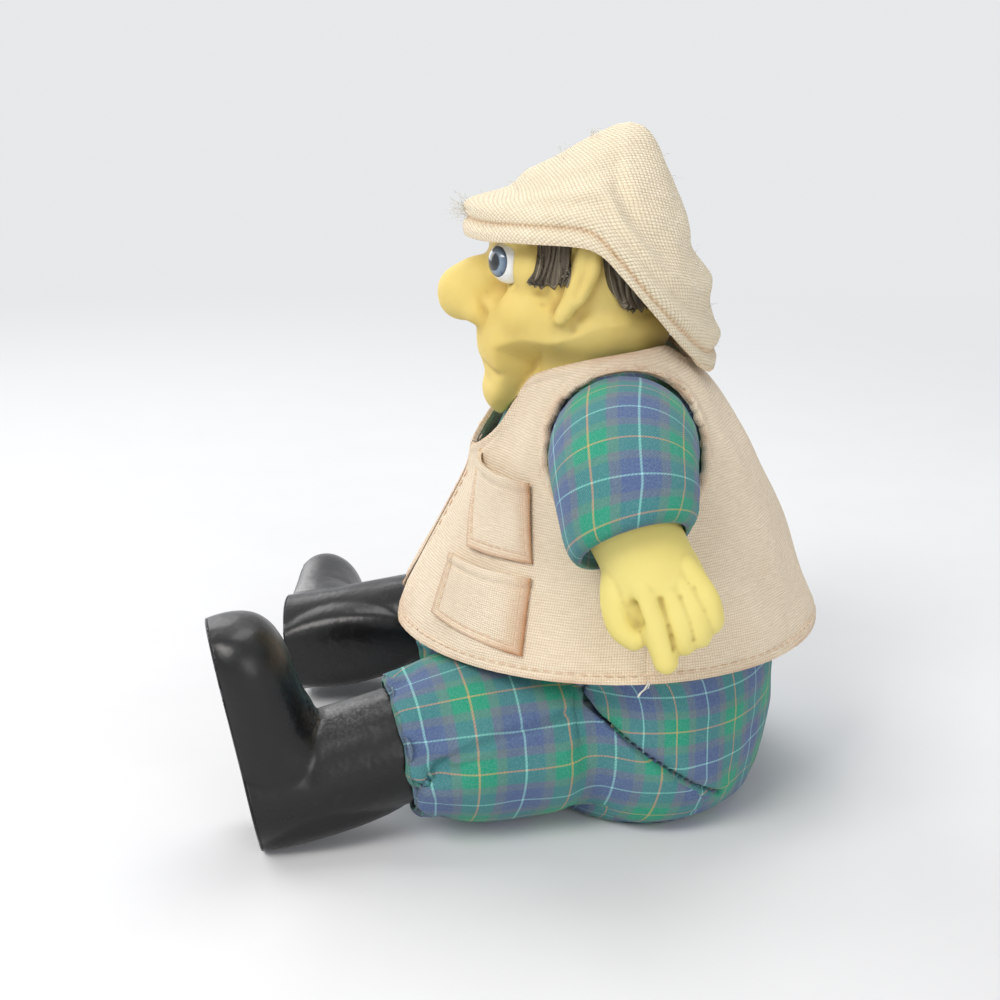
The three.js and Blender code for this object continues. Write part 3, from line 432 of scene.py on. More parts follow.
def boot_finish():
    """Gloss black, dulled by flecks and by dust where it is marked."""
    made, tree, surface = new_material("boot_gloss")
    place = place_of(tree)
    wear = node(tree, "ShaderNodeGroup", {"Place": place, "Dust": 0.5, "Flecks": 0.56}, node_tree=WEAR)
    grains = spread(tree, noise_value(tree, place, 1400.0, 4, 0.7), 0.42, 0.62, 0.05, 0.62)
    dusty = calc(tree, "MAXIMUM", times(tree, wear.outputs["Dust"], 0.22),
                 times(tree, mark(tree, "dust"), grains))
    tone = blend(tree, dusty, rgb(10, 11, 12), rgb(112, 114, 112))
    tone = blend(tree, times(tree, wear.outputs["Flecks"], 0.5), tone, rgb(190, 190, 186))
    rough = spread(tree, noise_value(tree, place, 60.0, 5), 0.3, 0.7, 0.22, 0.42)
    rough = calc(tree, "MAXIMUM", rough, times(tree, dusty, 0.8))
    lumps = calc(tree, "ADD", noise_value(tree, place, 110.0, 3),
                 times(tree, noise_value(tree, place, 700.0, 3), 0.12))
    set_surface(tree, surface, {"Base Color": tone, "Roughness": rough, "Specular IOR Level": 0.3,
                                "Coat Weight": 0.3, "Coat Roughness": 0.28,
                                "Normal": relief(tree, lumps, 0.0012, 0.4)})
    return made


def thread_finish(name, light, dark):
    made, tree, surface = new_material(name)
    twist = noise_value(tree, place_of(tree), 2500.0, 2)
    set_surface(tree, surface, {"Base Color": blend(tree, twist, light, dark), "Roughness": 0.9,
                                "Specular IOR Level": 0.2, "Normal": relief(tree, twist, 0.0001)})
    return made


def filling_finish(name, light, dark, scale):
    made, tree, surface = new_material(name)
    cells = node(tree, "ShaderNodeTexVoronoi", {"Vector": place_of(tree), "Scale": scale}).outputs["Distance"]
    set_surface(tree, surface, {"Base Color": blend(tree, cells, light, dark), "Roughness": 0.75,
                                "Normal": relief(tree, cells, 0.0006)})
    return made


VEST_CANVAS = canvas_finish("vest_canvas", rgb(251, 237, 214), rgb(208, 181, 148), rgb(188, 128, 82),
                            0.05, 0.0003)
CAP_CANVAS = canvas_finish("cap_canvas", rgb(252, 241, 216), rgb(208, 184, 146), rgb(200, 152, 104),
                           0.066, 0.0005)
TARTAN_TWILL = tartan_finish()
# the last colour of each is the painted shade of the hollows, and also the dust
FACE_PAINT = skin_finish("face_paint", rgb(228, 205, 124), rgb(219, 190, 100), rgb(158, 118, 52))
HAND_PAINT = skin_finish("hand_paint", rgb(230, 215, 130), rgb(221, 202, 110), rgb(156, 130, 56))
HAIR_PAINT = hair_finish()
EYE_GLOSS = eye_finish()
BOOT_GLOSS = boot_finish()
SEWING_THREAD = thread_finish("sewing_thread", rgb(240, 220, 196), rgb(206, 172, 140))
WHITE_THREAD = thread_finish("white_thread", rgb(244, 242, 236), rgb(210, 208, 200))
TIE_CORD = thread_finish("tie_cord", rgb(222, 216, 202), rgb(170, 162, 146))
BEADS = filling_finish("beads", rgb(190, 188, 176), rgb(140, 138, 128), 500.0)
STUFFING = filling_finish("stuffing", rgb(244, 242, 236), rgb(214, 212, 206), 160.0)


# Making pieces


TIP = 0.05  # radius of a ring that closes an end


def loose_object(name, bm, merge=1e-7):
    """A mesh object in the scene from a bmesh, closed up and facing outwards."""
    bmesh.ops.remove_doubles(bm, verts=bm.verts, dist=merge)
    bmesh.ops.recalc_face_normals(bm, faces=bm.faces)
    mesh = bpy.data.meshes.new(name)
    bm.to_mesh(mesh)
    bm.free()
    mesh.shade_smooth()
    obj = bpy.data.objects.new(name, mesh)
    scene.collection.objects.link(obj)
    return obj


def settle(obj):
    """Makes the result of the modifiers the piece's own mesh."""
    graph = bpy.context.evaluated_depsgraph_get()
    made = bpy.data.meshes.new_from_object(obj.evaluated_get(graph), preserve_all_data_layers=True,
                                           depsgraph=graph)
    old = obj.data
    obj.modifiers.clear()
    obj.data = made
    bpy.data.meshes.remove(old)
    obj.data.shade_smooth()


def ready(obj, material, body, slot, *nodes):
    """Gives a piece its finish and its place in the figure."""
    obj.data.materials.clear()
    obj.data.materials.append(material)
    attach(obj, body)
    if nodes:
        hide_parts(*nodes)


def cloth_grid(bm, across, along, place, flat, stain_and_shade=None, held=None):
    """Adds a grid for u and v from 0 to 1: place gives its points, flat their place on the uncut cloth."""
    uv = bm.loops.layers.uv.get("cloth") or bm.loops.layers.uv.new("cloth")
    layers = {}
    for name, worth in (("stain_and_shade", stain_and_shade), ("held", held)):
        if worth:
            layers[name] = bm.verts.layers.float.get(name) or bm.verts.layers.float.new(name)
    made = bmesh.ops.create_grid(bm, x_segments=across, y_segments=along, size=0.5)["verts"]
    spots = {v: (min(max(v.co.x + 0.5, 0), 1), min(max(v.co.y + 0.5, 0), 1)) for v in made}
    maps = {v: Vector(flat(*spot)) * FLAT for v, spot in spots.items()}
    for face in {f for v in made for f in v.link_faces}:
        for loop in face.loops:
            loop[uv].uv = maps[loop.vert]
    for v, spot in spots.items():
        v.co = Vector(place(*spot)) * MM
        if stain_and_shade:
            v[layers["stain_and_shade"]] = stain_and_shade(*spot)
        if held:
            v[layers["held"]] = held(*spot)
    return made


def ring_tube(bm, rings, around, girth=None, start=0, turned=False, stain_and_shade=None, held=None):
    """A tube through rings of (middle, half axis, half axis). A ring of no size closes an end."""
    last = len(rings) - 1
    lengths = [start]
    for a, b in zip(rings, rings[1:]):
        edge = max((b[0] + b[1] - a[0] - a[1]).length, (b[0] - b[2] - a[0] + a[2]).length)
        lengths.append(lengths[-1] + edge)
    size = girth or 2 * math.pi * max(r[1].length for r in rings)

    def place(u, v):
        middle, one, two = rings[round(v * last)]
        turn = 2 * math.pi * u
        return middle + one * math.cos(turn) + two * math.sin(turn)

    def flat(u, v):
        spot = (u * size, lengths[round(v * last)])
        return spot[::-1] if turned else spot

    return cloth_grid(bm, around, last, place, flat,
                      stain_and_shade and (lambda u, v: stain_and_shade(u, round(v * last))),
                      held and (lambda u, v: held(u, round(v * last))))


def points_of(mesh):
    flat = np.empty(len(mesh.vertices) * 3)
    mesh.vertices.foreach_get("co", flat)
    return flat.reshape(-1, 3)


def normals_of(mesh):
    flat = np.empty(len(mesh.vertices) * 3)
    mesh.vertex_normals.foreach_get("vector", flat)
    return flat.reshape(-1, 3)


def move_points(mesh, points):
    mesh.vertices.foreach_set("co", points.ravel())
    mesh.update()


def raise_points(obj, height):
    """Moves each point out along its normal, by millimetres."""
    move_points(obj.data, points_of(obj.data) + normals_of(obj.data) * (height * MM)[:, None])


def sided(line, sign):
    """A line of points, or its mirror on the other side of the figure."""
    return [type(p)((p[0] * sign, p[1], p[2])) for p in line]


def upright(rows, y=0):
    """Rings of an upright turned form: height and radius."""
    return [(Vector((0, y, z)), Vector((r, 0, 0)), Vector((0, r, 0))) for z, r in rows]


def plug(bm, start, end, radius, around):
    """Adds a short upright plug between two heights."""
    ring_tube(bm, upright([(start, TIP), (start, radius), (end, radius), (end, TIP)]), around)


def distance_to(points, line):
    """Distance of each point from a line of corners, all in metres."""
    best = np.full(len(points), 1e9)
    for a, b in zip(line, line[1:]):
        way = b - a
        share = np.clip((points - a) @ way / max(way @ way, 1e-18), 0, 1)
        best = np.minimum(best, np.linalg.norm(points - a - share[:, None] * way, axis=1))
    return best


def groove(obj, line, depth, width, mirror=False):
    """Presses a soft groove along a line of points; a depth below zero raises a ridge."""
    for side in (1, -1) if mirror else (1,):
        far = distance_to(points_of(obj.data), np.array(sided(line, side)) * MM)
        raise_points(obj, -depth * np.exp(-((far / (width * MM)) ** 2)))


def paint_mark(obj, name, values):
    layer = obj.data.attributes.get(name) or obj.data.attributes.new(name, "FLOAT", "POINT")
    layer.data.foreach_set("value", np.asarray(values, dtype=np.float32))


def read_mark(obj, name):
    layer = obj.data.attributes[name].data
    values = np.empty(len(layer), dtype=np.float32)
    layer.foreach_get("value", values)
    return values


def hollow_share(mesh, rounds=0):
    """How hollow the surface is at each point; below zero on a ridge. Rounds even it out."""
    points, normals = points_of(mesh), normals_of(mesh)
    ends = np.empty(len(mesh.edges) * 2, dtype=np.int64)
    mesh.edges.foreach_get("vertices", ends)
    a, b = ends.reshape(-1, 2).T
    way = points[b] - points[a]
    way /= np.maximum(np.linalg.norm(way, axis=1), 1e-9)[:, None]
    count = np.bincount(np.r_[a, b], minlength=len(points)).clip(1)
    lift = np.r_[(way * normals[a]).sum(1), -(way * normals[b]).sum(1)]
    value = np.bincount(np.r_[a, b], lift, len(points)) / count
    for _ in range(rounds):
        value = (value + np.bincount(np.r_[a, b], value[np.r_[b, a]], len(points)) / count) / 2
    return value


def paint_hollow_shade(obj, rounds, gain):
    """Marks the hollows, for the painted shade there."""
    paint_mark(obj, "hollow", np.clip(hollow_share(obj.data, rounds) * gain, 0, 0.85))


def skin(name, bm, voxel, rounds):
    """One smooth skin over everything in the bmesh."""
    obj = loose_object(name, bm)
    remesh = obj.modifiers.new("skin", "REMESH")
    remesh.mode = "VOXEL"
    remesh.voxel_size = voxel * MM
    smoother = obj.modifiers.new("smoother", "SMOOTH")
    smoother.factor = 0.5
    smoother.iterations = rounds
    settle(obj)
    return obj


def lump(bm, middle, sizes, lean=0):
    """Adds an egg of clay with half sizes, leaned about X."""
    place = Matrix.Translation(Vector(middle) * MM)
    place = place @ Matrix.Rotation(math.radians(lean), 4, "X")
    place = place @ Matrix.Diagonal((*[s * MM for s in sizes], 1))
    bmesh.ops.create_icosphere(bm, subdivisions=4, radius=1, matrix=place)


def mirrored(obj, name):
    """A mirror copy of a piece across the middle plane of the figure."""
    bm = bmesh.new()
    bm.from_mesh(obj.data)
    bmesh.ops.scale(bm, vec=(-1, 1, 1), verts=bm.verts)
    bmesh.ops.reverse_faces(bm, faces=bm.faces)
    mesh = bpy.data.meshes.new(name)
    bm.to_mesh(mesh)
    bm.free()
    copy = bpy.data.objects.new(name, mesh)
    scene.collection.objects.link(copy)
    return copy


def carry(obj, place):
    """Moves a piece to its place in the figure. A place that mirrors it has its faces turned round."""
    bm = bmesh.new()
    bm.from_mesh(obj.data)
    bmesh.ops.transform(bm, matrix=place, verts=bm.verts)
    if place.determinant() < 0:
        bmesh.ops.reverse_faces(bm, faces=bm.faces)
    bm.to_mesh(obj.data)
    bm.free()


def stuff(obj, pressure, grow, cap):
    """Blows a stuffed piece up in its cloth where it isn't held, so that it swells and creases."""
    scale = 10  # the cloth settles best on a larger piece
    moments = 22
    start = points_of(obj.data)
    trial = bpy.data.objects.new("trial", obj.data.copy())
    scene.collection.objects.link(trial)
    move_points(trial.data, start * scale)
    pins = trial.vertex_groups.new(name="pins")
    for i, weight in enumerate(read_mark(obj, "held")):
        pins.add([i], float(weight), "REPLACE")
    cloth = trial.modifiers.new("cloth", "CLOTH")
    cloth.settings.quality = 6
    cloth.settings.mass = 0.2
    cloth.settings.tension_stiffness = 20
    cloth.settings.compression_stiffness = 20
    cloth.settings.shear_stiffness = 6
    cloth.settings.bending_stiffness = 0.35
    cloth.settings.vertex_group_mass = "pins"
    cloth.settings.use_pressure = True
    cloth.settings.uniform_pressure_force = pressure
    cloth.settings.shrink_min = -grow
    cloth.settings.effector_weights.gravity = 0
    cloth.collision_settings.use_collision = False
    cloth.point_cache.frame_start = 1
    cloth.point_cache.frame_end = moments + 2
    for moment in range(moments):
        scene.frame_set(moment + 1)
    graph = bpy.context.evaluated_depsgraph_get()
    ended = points_of(trial.evaluated_get(graph).data) / scale
    shift = ended - start
    far = np.linalg.norm(shift, axis=1)
    shift *= (np.minimum(far, cap * MM) / np.maximum(far, 1e-9))[:, None]
    move_points(obj.data, start + shift)
    spare = trial.data
    bpy.data.objects.remove(trial)
    bpy.data.meshes.remove(spare)
    scene.frame_set(1)


def subdivide(obj):
    finer = obj.modifiers.new("finer", "SUBSURF")
    finer.levels = finer.render_levels = 1


def thicken(obj, thickness, edge=0.3):
    """Gives a sheet its thickness, inwards, and a soft rim."""
    wall = obj.modifiers.new("cloth", "SOLIDIFY")
    wall.thickness = thickness * MM
    wall.offset = -1
    rim = obj.modifiers.new("rim", "BEVEL")
    rim.width = edge * MM
    rim.segments = 2
    rim.limit_method = "ANGLE"
    rim.angle_limit = math.radians(55)


# Body, sleeves and trouser legs


# The body from its base up: height, half width, half depth and middle
BODY_ROWS = [(0, 0.05, 0.05, 6.8), (0, 24, 16, 6.8), (0.5, 32, 22.5, 7.2), (2.2, 35.2, 24.2, 8.4),
             (5.4, 38.2, 25.8, 9.8), (15, 40.6, 27.2, 10.4), (27, 40.2, 27.4, 10.6), (34, 39.4, 29.5, 8.6),
             (38, 38.9, 36, 3.6), (44, 38.6, 37.6, 2.2), (55, 37.2, 35, 2.4), (65, 33.8, 30.4, 3.1),
             (78, 29.8, 23.6, 2.7), (87, 26.6, 17.8, 2.3), (92.5, 14, 11, 0.8), (93.5, 9, 8.6, 0.5),
             (93.6, 0.05, 0.05, 0.5)]
BELLY_Z = 38.6  # where the belly hangs over the lap
body_row = by_first(BODY_ROWS[9:])
seat_row = by_first(BODY_ROWS[2:11])
# The seam from the hip corner down to the rear of the seat, and the tuck in front of it, as y and z
HIP_SEAM = ((-4.6, 33), (-4.7, 28.7), (1, 24.4), (8, 19.2), (16, 13.6), (23.6, 8))
HIP_TUCK = ((-8.5, 28), (-15, 26.8), (-23.5, 25), (-32, 21.4), (-36, 17))
# Where the cloth of a leg ends on the seat: height and y
HAUNCH_END = ((0, 11), (3, 19), (8, 23.6), (13.6, 16), (19.2, 8), (24.4, 1), (28.7, -4.7), (36, -4.7))


def body_rings():
    """The seat, belly and chest from the base up."""
    rows = through(BODY_ROWS)
    steps = 110
    rings = []
    for i in range(steps + 1):
        z, wide, deep, y = rows(i / steps)
        rings.append((Vector((0, y, max(z, 0))), Vector((0, deep, 0)), Vector((wide, 0, 0))))
    return rings


def on_seat_side(y, z):
    """The point of the seat's left side over a place seen from the side."""
    wide, deep, middle = seat_row(z)
    return wide * math.sqrt(max(1 - ((y - middle) / deep) ** 2, 0)), y, z


def seam_line(places, surface, steps=40):
    """A fine line on a surface through places seen from the side."""
    path = through(places)
    return [surface(*path(i / steps)) for i in range(steps + 1)]


def make_body():
    bm = bmesh.new()
    ring_tube(bm, body_rings(), 128, girth=236, stain_and_shade=lambda u, i: 0.0)
    obj = loose_object("body_cloth", bm, 2e-5)
    subdivide(obj)
    settle(obj)
    points = points_of(obj.data) / MM
    z = points[:, 2]
    over_lap = np.exp(-((z - BELLY_Z) / np.where(z > BELLY_Z, 4.6, 1.8)) ** 2)
    points[:, 1] -= 4.2 * over_lap * np.clip(-points[:, 1] / 28, 0, 1)
    points[:, 0] *= 1 + 0.025 * np.exp(-((z - HEM_Z) / 3) ** 2)
    move_points(obj.data, points * MM)
    points = points_of(obj.data)
    folds = seat_folds(points / MM)
    seam = seam_line(HIP_SEAM, on_seat_side)
    groove(obj, [(x + 0.1, y + 1.4, z + 1.8) for x, y, z in seam], -0.55, 1.5, mirror=True)
    groove(obj, seam, 1.3, 0.55, mirror=True)
    raise_points(obj, folds)
    both = [distance_to(points, np.array(sided(seam, sign)) * MM) for sign in SIDES.values()]
    paint_mark(obj, "stain_and_shade", 1.1 * np.exp(-(np.minimum(*both) / (0.45 * MM)) ** 2))
    cut = bmesh.new()
    for middle in sided([HIP], 1) + sided([HIP], -1):
        lump(cut, middle, (HIP_SPREAD + 0.4, HIP_SPREAD + 0.4, HIP_RADIUS + 0.5))
    sockets = loose_object("sockets", cut)
    cutter = obj.modifiers.new("sockets", "BOOLEAN")
    cutter.operation = "DIFFERENCE"
    cutter.object = sockets
    cutter.solver = "EXACT"
    settle(obj)
    bpy.data.objects.remove(sockets)
    obj.data.set_sharp_from_angle(angle=math.radians(40))
    ready(obj, TARTAN_TWILL, "torso", "tartan_cloth", "body_skin")


def along_cuff(middle, inwards, one, two, rows):
    """Rings of a cuff: depth into the cuff and radius, round the given axes."""
    return [(middle + inwards * depth, one * radius, two * radius) for depth, radius in rows]


def sleeve_rings():
    """A left sleeve from its shoulder seam round the elbow to the turned-in cuff, which leans back."""
    bend = math.pi / 2 - ARM_LEAN
    reach = 14.0  # radius of the bend
    straight = UPPER_ARM - reach * math.tan(bend / 2)
    length = FOREARM - reach * math.tan(bend / 2)
    way_out = Vector((math.sin(ARM_LEAN), 0, -math.cos(ARM_LEAN)))
    corner = Vector((straight + reach * math.sin(bend), 0, -reach * (1 - math.cos(bend))))
    rings = []

    def ring(middle, way, radius, back=0.0):
        side = Matrix.Rotation(CUFF_TIP * back, 3, "X") @ Vector((0, 1, 0))
        across = side.cross(way).normalized()
        shift = Vector((0, -1.3 * math.sin(math.pi * min(len(rings) / 24, 1)), 0))
        rings.append((ARM + middle + shift, side * radius, across * radius))

    for share, radius in ((0, 0.05), (0, 6), (0, 11.6), (0.06, 13.2), (0.3, 14.1), (0.65, 14.2), (1, 14)):
        ring(Vector((0.5 + share * (straight - 0.5), 0, 0)), Vector((1, 0, 0)), radius)
    for i in range(1, 13):
        turn = bend * i / 12
        way = Vector((math.cos(turn), 0, -math.sin(turn)))
        middle = Vector((straight + reach * math.sin(turn), 0, -reach * (1 - math.cos(turn))))
        ring(middle, way, mix(14, 12.9, i / 12), 0.4 * i / 12)
    for share, radius in ((0.2, 12.7), (0.4, 12.6), (0.6, 12.4), (0.8, 11.9), (0.95, 11.3), (1.04, 10.7),
                          (1.06, 10.2), (1.0, 9.9), (0.85, 9.7)):
        ring(corner + way_out * length * share, way_out, radius, 0.4 + 0.6 * min(share, 1))
    return rings


def hand_place():
    """Where the wrist of the left hand is, and the way the hand hangs."""
    out = UPPER_ARM + FOREARM * math.sin(ARM_LEAN) - 2
    middle = ARM + Vector((out, 0, -FOREARM * math.cos(ARM_LEAN)))
    way = Vector((math.tan(math.radians(20)), math.tan(math.radians(15)), -1)).normalized()
    turn = Vector((0, 0, -1)).rotation_difference(way).to_matrix().to_4x4()
    return Matrix.Translation(middle) @ turn


def make_sleeves():
    rings = sleeve_rings()
    place = hand_place()
    way = (place.to_3x3() @ Vector((0, 0, 1))).normalized()
    one = Vector((0, 1, 0)) - way * way.y
    one.normalize()
    two = one.cross(way)
    outer = len(rings) - 3
    rings += along_cuff(place.translation, way, one, two, ((2.2, 8.6), (3, 7.3), (9.4, 7.2), (9.5, 0.05)))
    bm = bmesh.new()
    # painted shade inside the turned-in cuff and just above its rim
    ring_tube(bm, rings, 72, girth=82, start=7.5,
              stain_and_shade=lambda u, i: 0.7 if i > outer else 0.35 * bump(i, outer - 1, 1.5),
              held=lambda u, i: 1.0 if i < 4 or i > outer - 2 else (0.4 if i < 6 else 0.0))
    left = loose_object("sleeve_cloth_left", bm, 2e-5)
    crease_sleeve(left)
    stuff(left, pressure=1.0, grow=0.05, cap=0.6)
    right = mirrored(left, "sleeve_cloth_right")
    for obj, side in ((left, "left"), (right, "right")):
        subdivide(obj)
        ready(obj, TARTAN_TWILL, f"{side}_arm", "tartan_cloth", f"sleeve_{side}")


def crease_sleeve(obj):
    """Small gathers above the cuff, at the front and the back."""
    for y, depth in ((-9, 0.9), (-3, 0.4), (6, 0.5), (11, 0.8)):
        low = (ARM.x + 25 - abs(y) * 0.3, ARM.y + y, 64)
        high = (ARM.x + 22 - abs(y) * 0.2, ARM.y + y * 1.08, 70)
        groove(obj, [low, high], depth, 1.2)


def leg_rings(turn):
    """A left trouser leg in the frame of its hip: the ball in the hip, the leg and the turned-in cuff."""
    bend = math.radians(turn)
    rise = CUFF_Z - HIP.z
    aside = LEG_LENGTH * math.tan(bend)
    rows = through([(0.0, 0, 0, 17.1, 0, 0), (0.1, 0, 0, 17.1, 0, 0), (0.35, 0, 0, 17.2, 0, 0),
                    (0.62, 0.04, 0.15, 16.8, 0, 0.3), (0.84, 0.09, 0.8, 15.4, 0.6, 0.8),
                    (0.95, 0.05, 1.05, 14.8, 1, 1), (1.0, 0, 1, 14, 1, 1)])
    rings = []
    for i in range(10):
        turn_in = math.pi / 2 * i / 10
        share = max(math.sin(turn_in), 0.003)
        middle = Vector((0, HIP_SPREAD * math.cos(turn_in), 0))
        rings.append((middle, Vector((HIP_SPREAD * share, 0, 0)), Vector((0, 0, HIP_RADIUS * share))))
    steps = 36
    for i in range(steps + 1):
        along, over, up, radius, lean, part = rows(i / steps)
        wide = mix(HIP_SPREAD / HIP_RADIUS, 1, min(max((along - 0.15) / 0.7, 0), 1))
        axes = Matrix.Rotation(-bend * part, 3, "Z") @ Matrix.Rotation(BOOT_TILT * lean, 3, "X")
        middle = Vector((aside * over, -LEG_LENGTH * along, rise * up))
        rings.append((middle, axes @ Vector((radius * wide, 0, 0)), axes @ Vector((0, 0, radius))))
    axes = Matrix.Rotation(-bend, 3, "Z") @ Matrix.Rotation(BOOT_TILT, 3, "X")
    across, inwards, up = [axes @ Vector(way) for way in ((1, 0, 0), (0, 1, 0), (0, 0, 1))]
    inside = ((-0.6, 13.6), (-0.7, 13.1), (0.3, 12.75), (2, 12.68), (4.4, 12.66), (4.7, 9.1), (12.5, 9.0),
              (12.6, 0.05))
    return rings + along_cuff(Vector((0, -LEG_LENGTH, rise)), inwards, across, up, inside)


def hip_place(side):
    """The frame of a hip, turned by the leg's splay and mirrored on the right."""
    turn = Matrix.Rotation(math.radians(LEG_TURNS[side][0]), 4, "Z")
    return Matrix.Diagonal((SIDES[side], 1, 1, 1)) @ Matrix.Translation(HIP * MM) @ turn


def make_leg(side):
    sign = SIDES[side]
    splay, turn = LEG_TURNS[side]
    rings = leg_rings(turn)
    cuff = len(rings) - 9

    def held(u, i):
        if i < 12 or i > cuff:
            return 1.0
        return 0.3 if i < 16 or i > cuff - 3 else 0.0

    bm = bmesh.new()
    # painted shade inside the turned-in cuff and along its rim
    ring_tube(bm, rings, 112, girth=LEG_GIRTH, turned=True, held=held,
              stain_and_shade=lambda u, i: 0.75 if i > cuff + 1 else 0.3 * bump(i, cuff, 1.2))
    obj = loose_object(f"leg_cloth_{side}", bm, 2e-5)
    stuff(obj, pressure=1.2, grow=0.06, cap=1.0)
    rumple_leg(obj, rings, cuff)
    carry(obj, hip_place(side))
    subdivide(obj)
    settle(obj)
    draw_haunch(obj, sign, math.radians(splay))
    sew_hip(obj, sign)
    obj.data.materials.append(TARTAN_TWILL)
    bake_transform(obj)
    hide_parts(f"trouser_leg_{side}")


def rumple_leg(obj, rings, cuff):
    """Pleats and folds that gather the leg towards its cuff; angles in degrees from the outer side."""
    for angle, length, depth, width in (
            (-18, 16, 2.0, 1.0), (-40, 12, 1.0, 1.3), (4, 12, -1.2, 2.2), (30, 14, 1.2, 1.3),
            (70, 10, 1.1, 1.4), (104, 11, 0.9, 1.2), (140, 9, 1.0, 1.2), (184, 10, 1.2, 1.2),
            (226, 9, 1.0, 1.2), (262, 12, 1.2, 1.3), (296, 11, 1.1, 1.3), (326, 9, -0.9, 2.0)):
        slant = 2.2 * math.sin(angle)  # degrees a ring, different for each fold
        line = []
        for i in range(cuff - length, cuff - 1, 2):
            middle, one, two = rings[i]
            turn = math.radians(angle + slant * (cuff - i))
            line.append(middle + one * math.cos(turn) + two * math.sin(turn))
        groove(obj, line, depth, width)
    x, y, z = points_of(obj.data).T / MM
    outside = np.hypot(x, z - 1) > 12.9
    along = np.clip((-y - 4) / 14, 0, 1) * outside
    spots = zip(x * 1.1, y * 0.55, z * 1.1)
    raise_points(obj, np.array([0.75 * wave(spot, 6.5, 4) for spot in spots]) * along)


def smooth_step(values):
    share = np.clip(values, 0, 1)
    return share * share * (3 - 2 * share)


def seat_folds(points):
    """How far the slack cloth of the seat stands out, for points in millimetres."""
    return np.array([0.6 * wave(p, 13) + 0.3 * wave(p, 5.5, 3) if p[2] > 2 else 0 for p in points])


def draw_haunch(obj, sign, splay):
    """Draws the cloth at the back of the hip out over the seat, up to the slanting seam."""
    points = points_of(obj.data) / MM
    x, y, z = points[:, 0] * sign, points[:, 1], points[:, 2]
    turn = np.arctan2(y - HIP.y, x - HIP.x)
    level = np.clip((z - HIP.z) / HIP_RADIUS, -1, 1)
    reach = HIP_SPREAD * np.sqrt(1 - level ** 2)
    share = turn / math.radians(60)  # 0 abreast of the hip, 1 at the seam, more where the cloth turns under
    end = np.interp(z, *zip(*HAUNCH_END))
    back = HIP.y + np.clip(share, 0, 1) * (end - HIP.y) - np.maximum(share - 1, 0) * 8
    wide, deep, middle = rows_at(seat_row, z, 0.5, 54)
    seat = wide * np.sqrt(np.maximum(1 - ((back - middle) / deep) ** 2, 0))
    proud = 0.5 + seat_folds(np.stack([seat, back, z], axis=1)) - 1.5 * smooth_step((share - 0.9) / 0.1)
    proud -= 12 * np.maximum(share - 1, 0)
    onto = smooth_step((back - HIP.y) / 12)
    side = (HIP.x + reach) * (1 - onto) + (seat + proud) * onto
    part = smooth_step(share * 4) * smooth_step((1.65 - share) * 2.4) * (y > HIP.y)
    points[:, 0] = sign * (x + part * (side - x))
    points[:, 1] = y + part * (back - y)
    move_points(obj.data, points * MM)
    around = np.arctan2(level, reach / HIP_SPREAD * math.cos(splay))
    around -= np.arctan2(level, reach / HIP_SPREAD * np.cos(np.clip(turn, 0, 1.4) - splay))
    slide = np.stack([reach * turn - (back - HIP.y), around * LEG_GIRTH / (2 * math.pi)], axis=1)
    slide *= part[:, None]
    corner = np.empty(len(obj.data.loops), dtype=np.int64)
    obj.data.loops.foreach_get("vertex_index", corner)
    spots = np.empty(len(corner) * 2, dtype=np.float32)
    uv = obj.data.uv_layers["cloth"].uv
    uv.foreach_get("vector", spots)
    uv.foreach_set("vector", (spots.reshape(-1, 2) + slide[corner] * FLAT).astype(np.float32).ravel())


def sew_hip(obj, sign):
    """The dark thread of the hip seam, and the tuck in front of it, with painted shade along the tuck."""
    tree = BVHTree.FromObject(obj, bpy.context.evaluated_depsgraph_get())

    def outside(y, z):
        return tree.ray_cast(Vector((90 * sign, y, z)) * MM, Vector((-sign, 0, 0)))[0] / MM

    tuck = seam_line(HIP_TUCK, outside)
    groove(obj, [(x, y, z - 2) for x, y, z in tuck], -0.6, 1.6)
    groove(obj, tuck, 1.3, 0.7)
    seam = sided(seam_line(HIP_SEAM, on_seat_side), sign)
    points = points_of(obj.data)
    shade = read_mark(obj, "stain_and_shade")
    # the dark seam thread, and painted shade along the tuck
    for line, dark in ((seam, 1.1), (tuck, 0.45)):
        far = distance_to(points, np.array(line) * MM)
        shade = np.maximum(shade, dark * np.exp(-(far / (0.5 * MM)) ** 2))
    paint_mark(obj, "stain_and_shade", shade)


# Waistcoat


vest_row = by_first(VEST_ROWS)
neckline = by_first(NECKLINE)


def vest_point(theta, z, off=0.0):
    """A point of the waistcoat: the angle runs from the front centre to the left."""
    wide, deep, y = vest_row(z)
    return Vector(((wide + off) * math.sin(theta), y - (deep + off) * math.cos(theta), z))


def vest_top(theta):
    """Height of the neckline at an angle."""
    return solve(lambda z: z - neckline(vest_point(theta, z).y)[0], 66, 99)


def front_edge(z):
    return math.asin(mix(2.5, 0.5, (z - HEM_Z) / 51) / vest_row(z)[0])


def seam_angle(z):
    """The side seam below the armhole and the shoulder seam above it."""
    _, deep, y = vest_row(z)
    share = min(max((z - 66) / 26, 0), 1)
    return math.acos(max(min((y - mix(7, 3, share)) / deep, 1), -1))


def from_armhole(point):
    """Distance outside the armhole's edge, seen from the side."""
    return math.hypot(point.y - ARMHOLE[0], point.z - ARMHOLE[1]) - ARMHOLE[2]


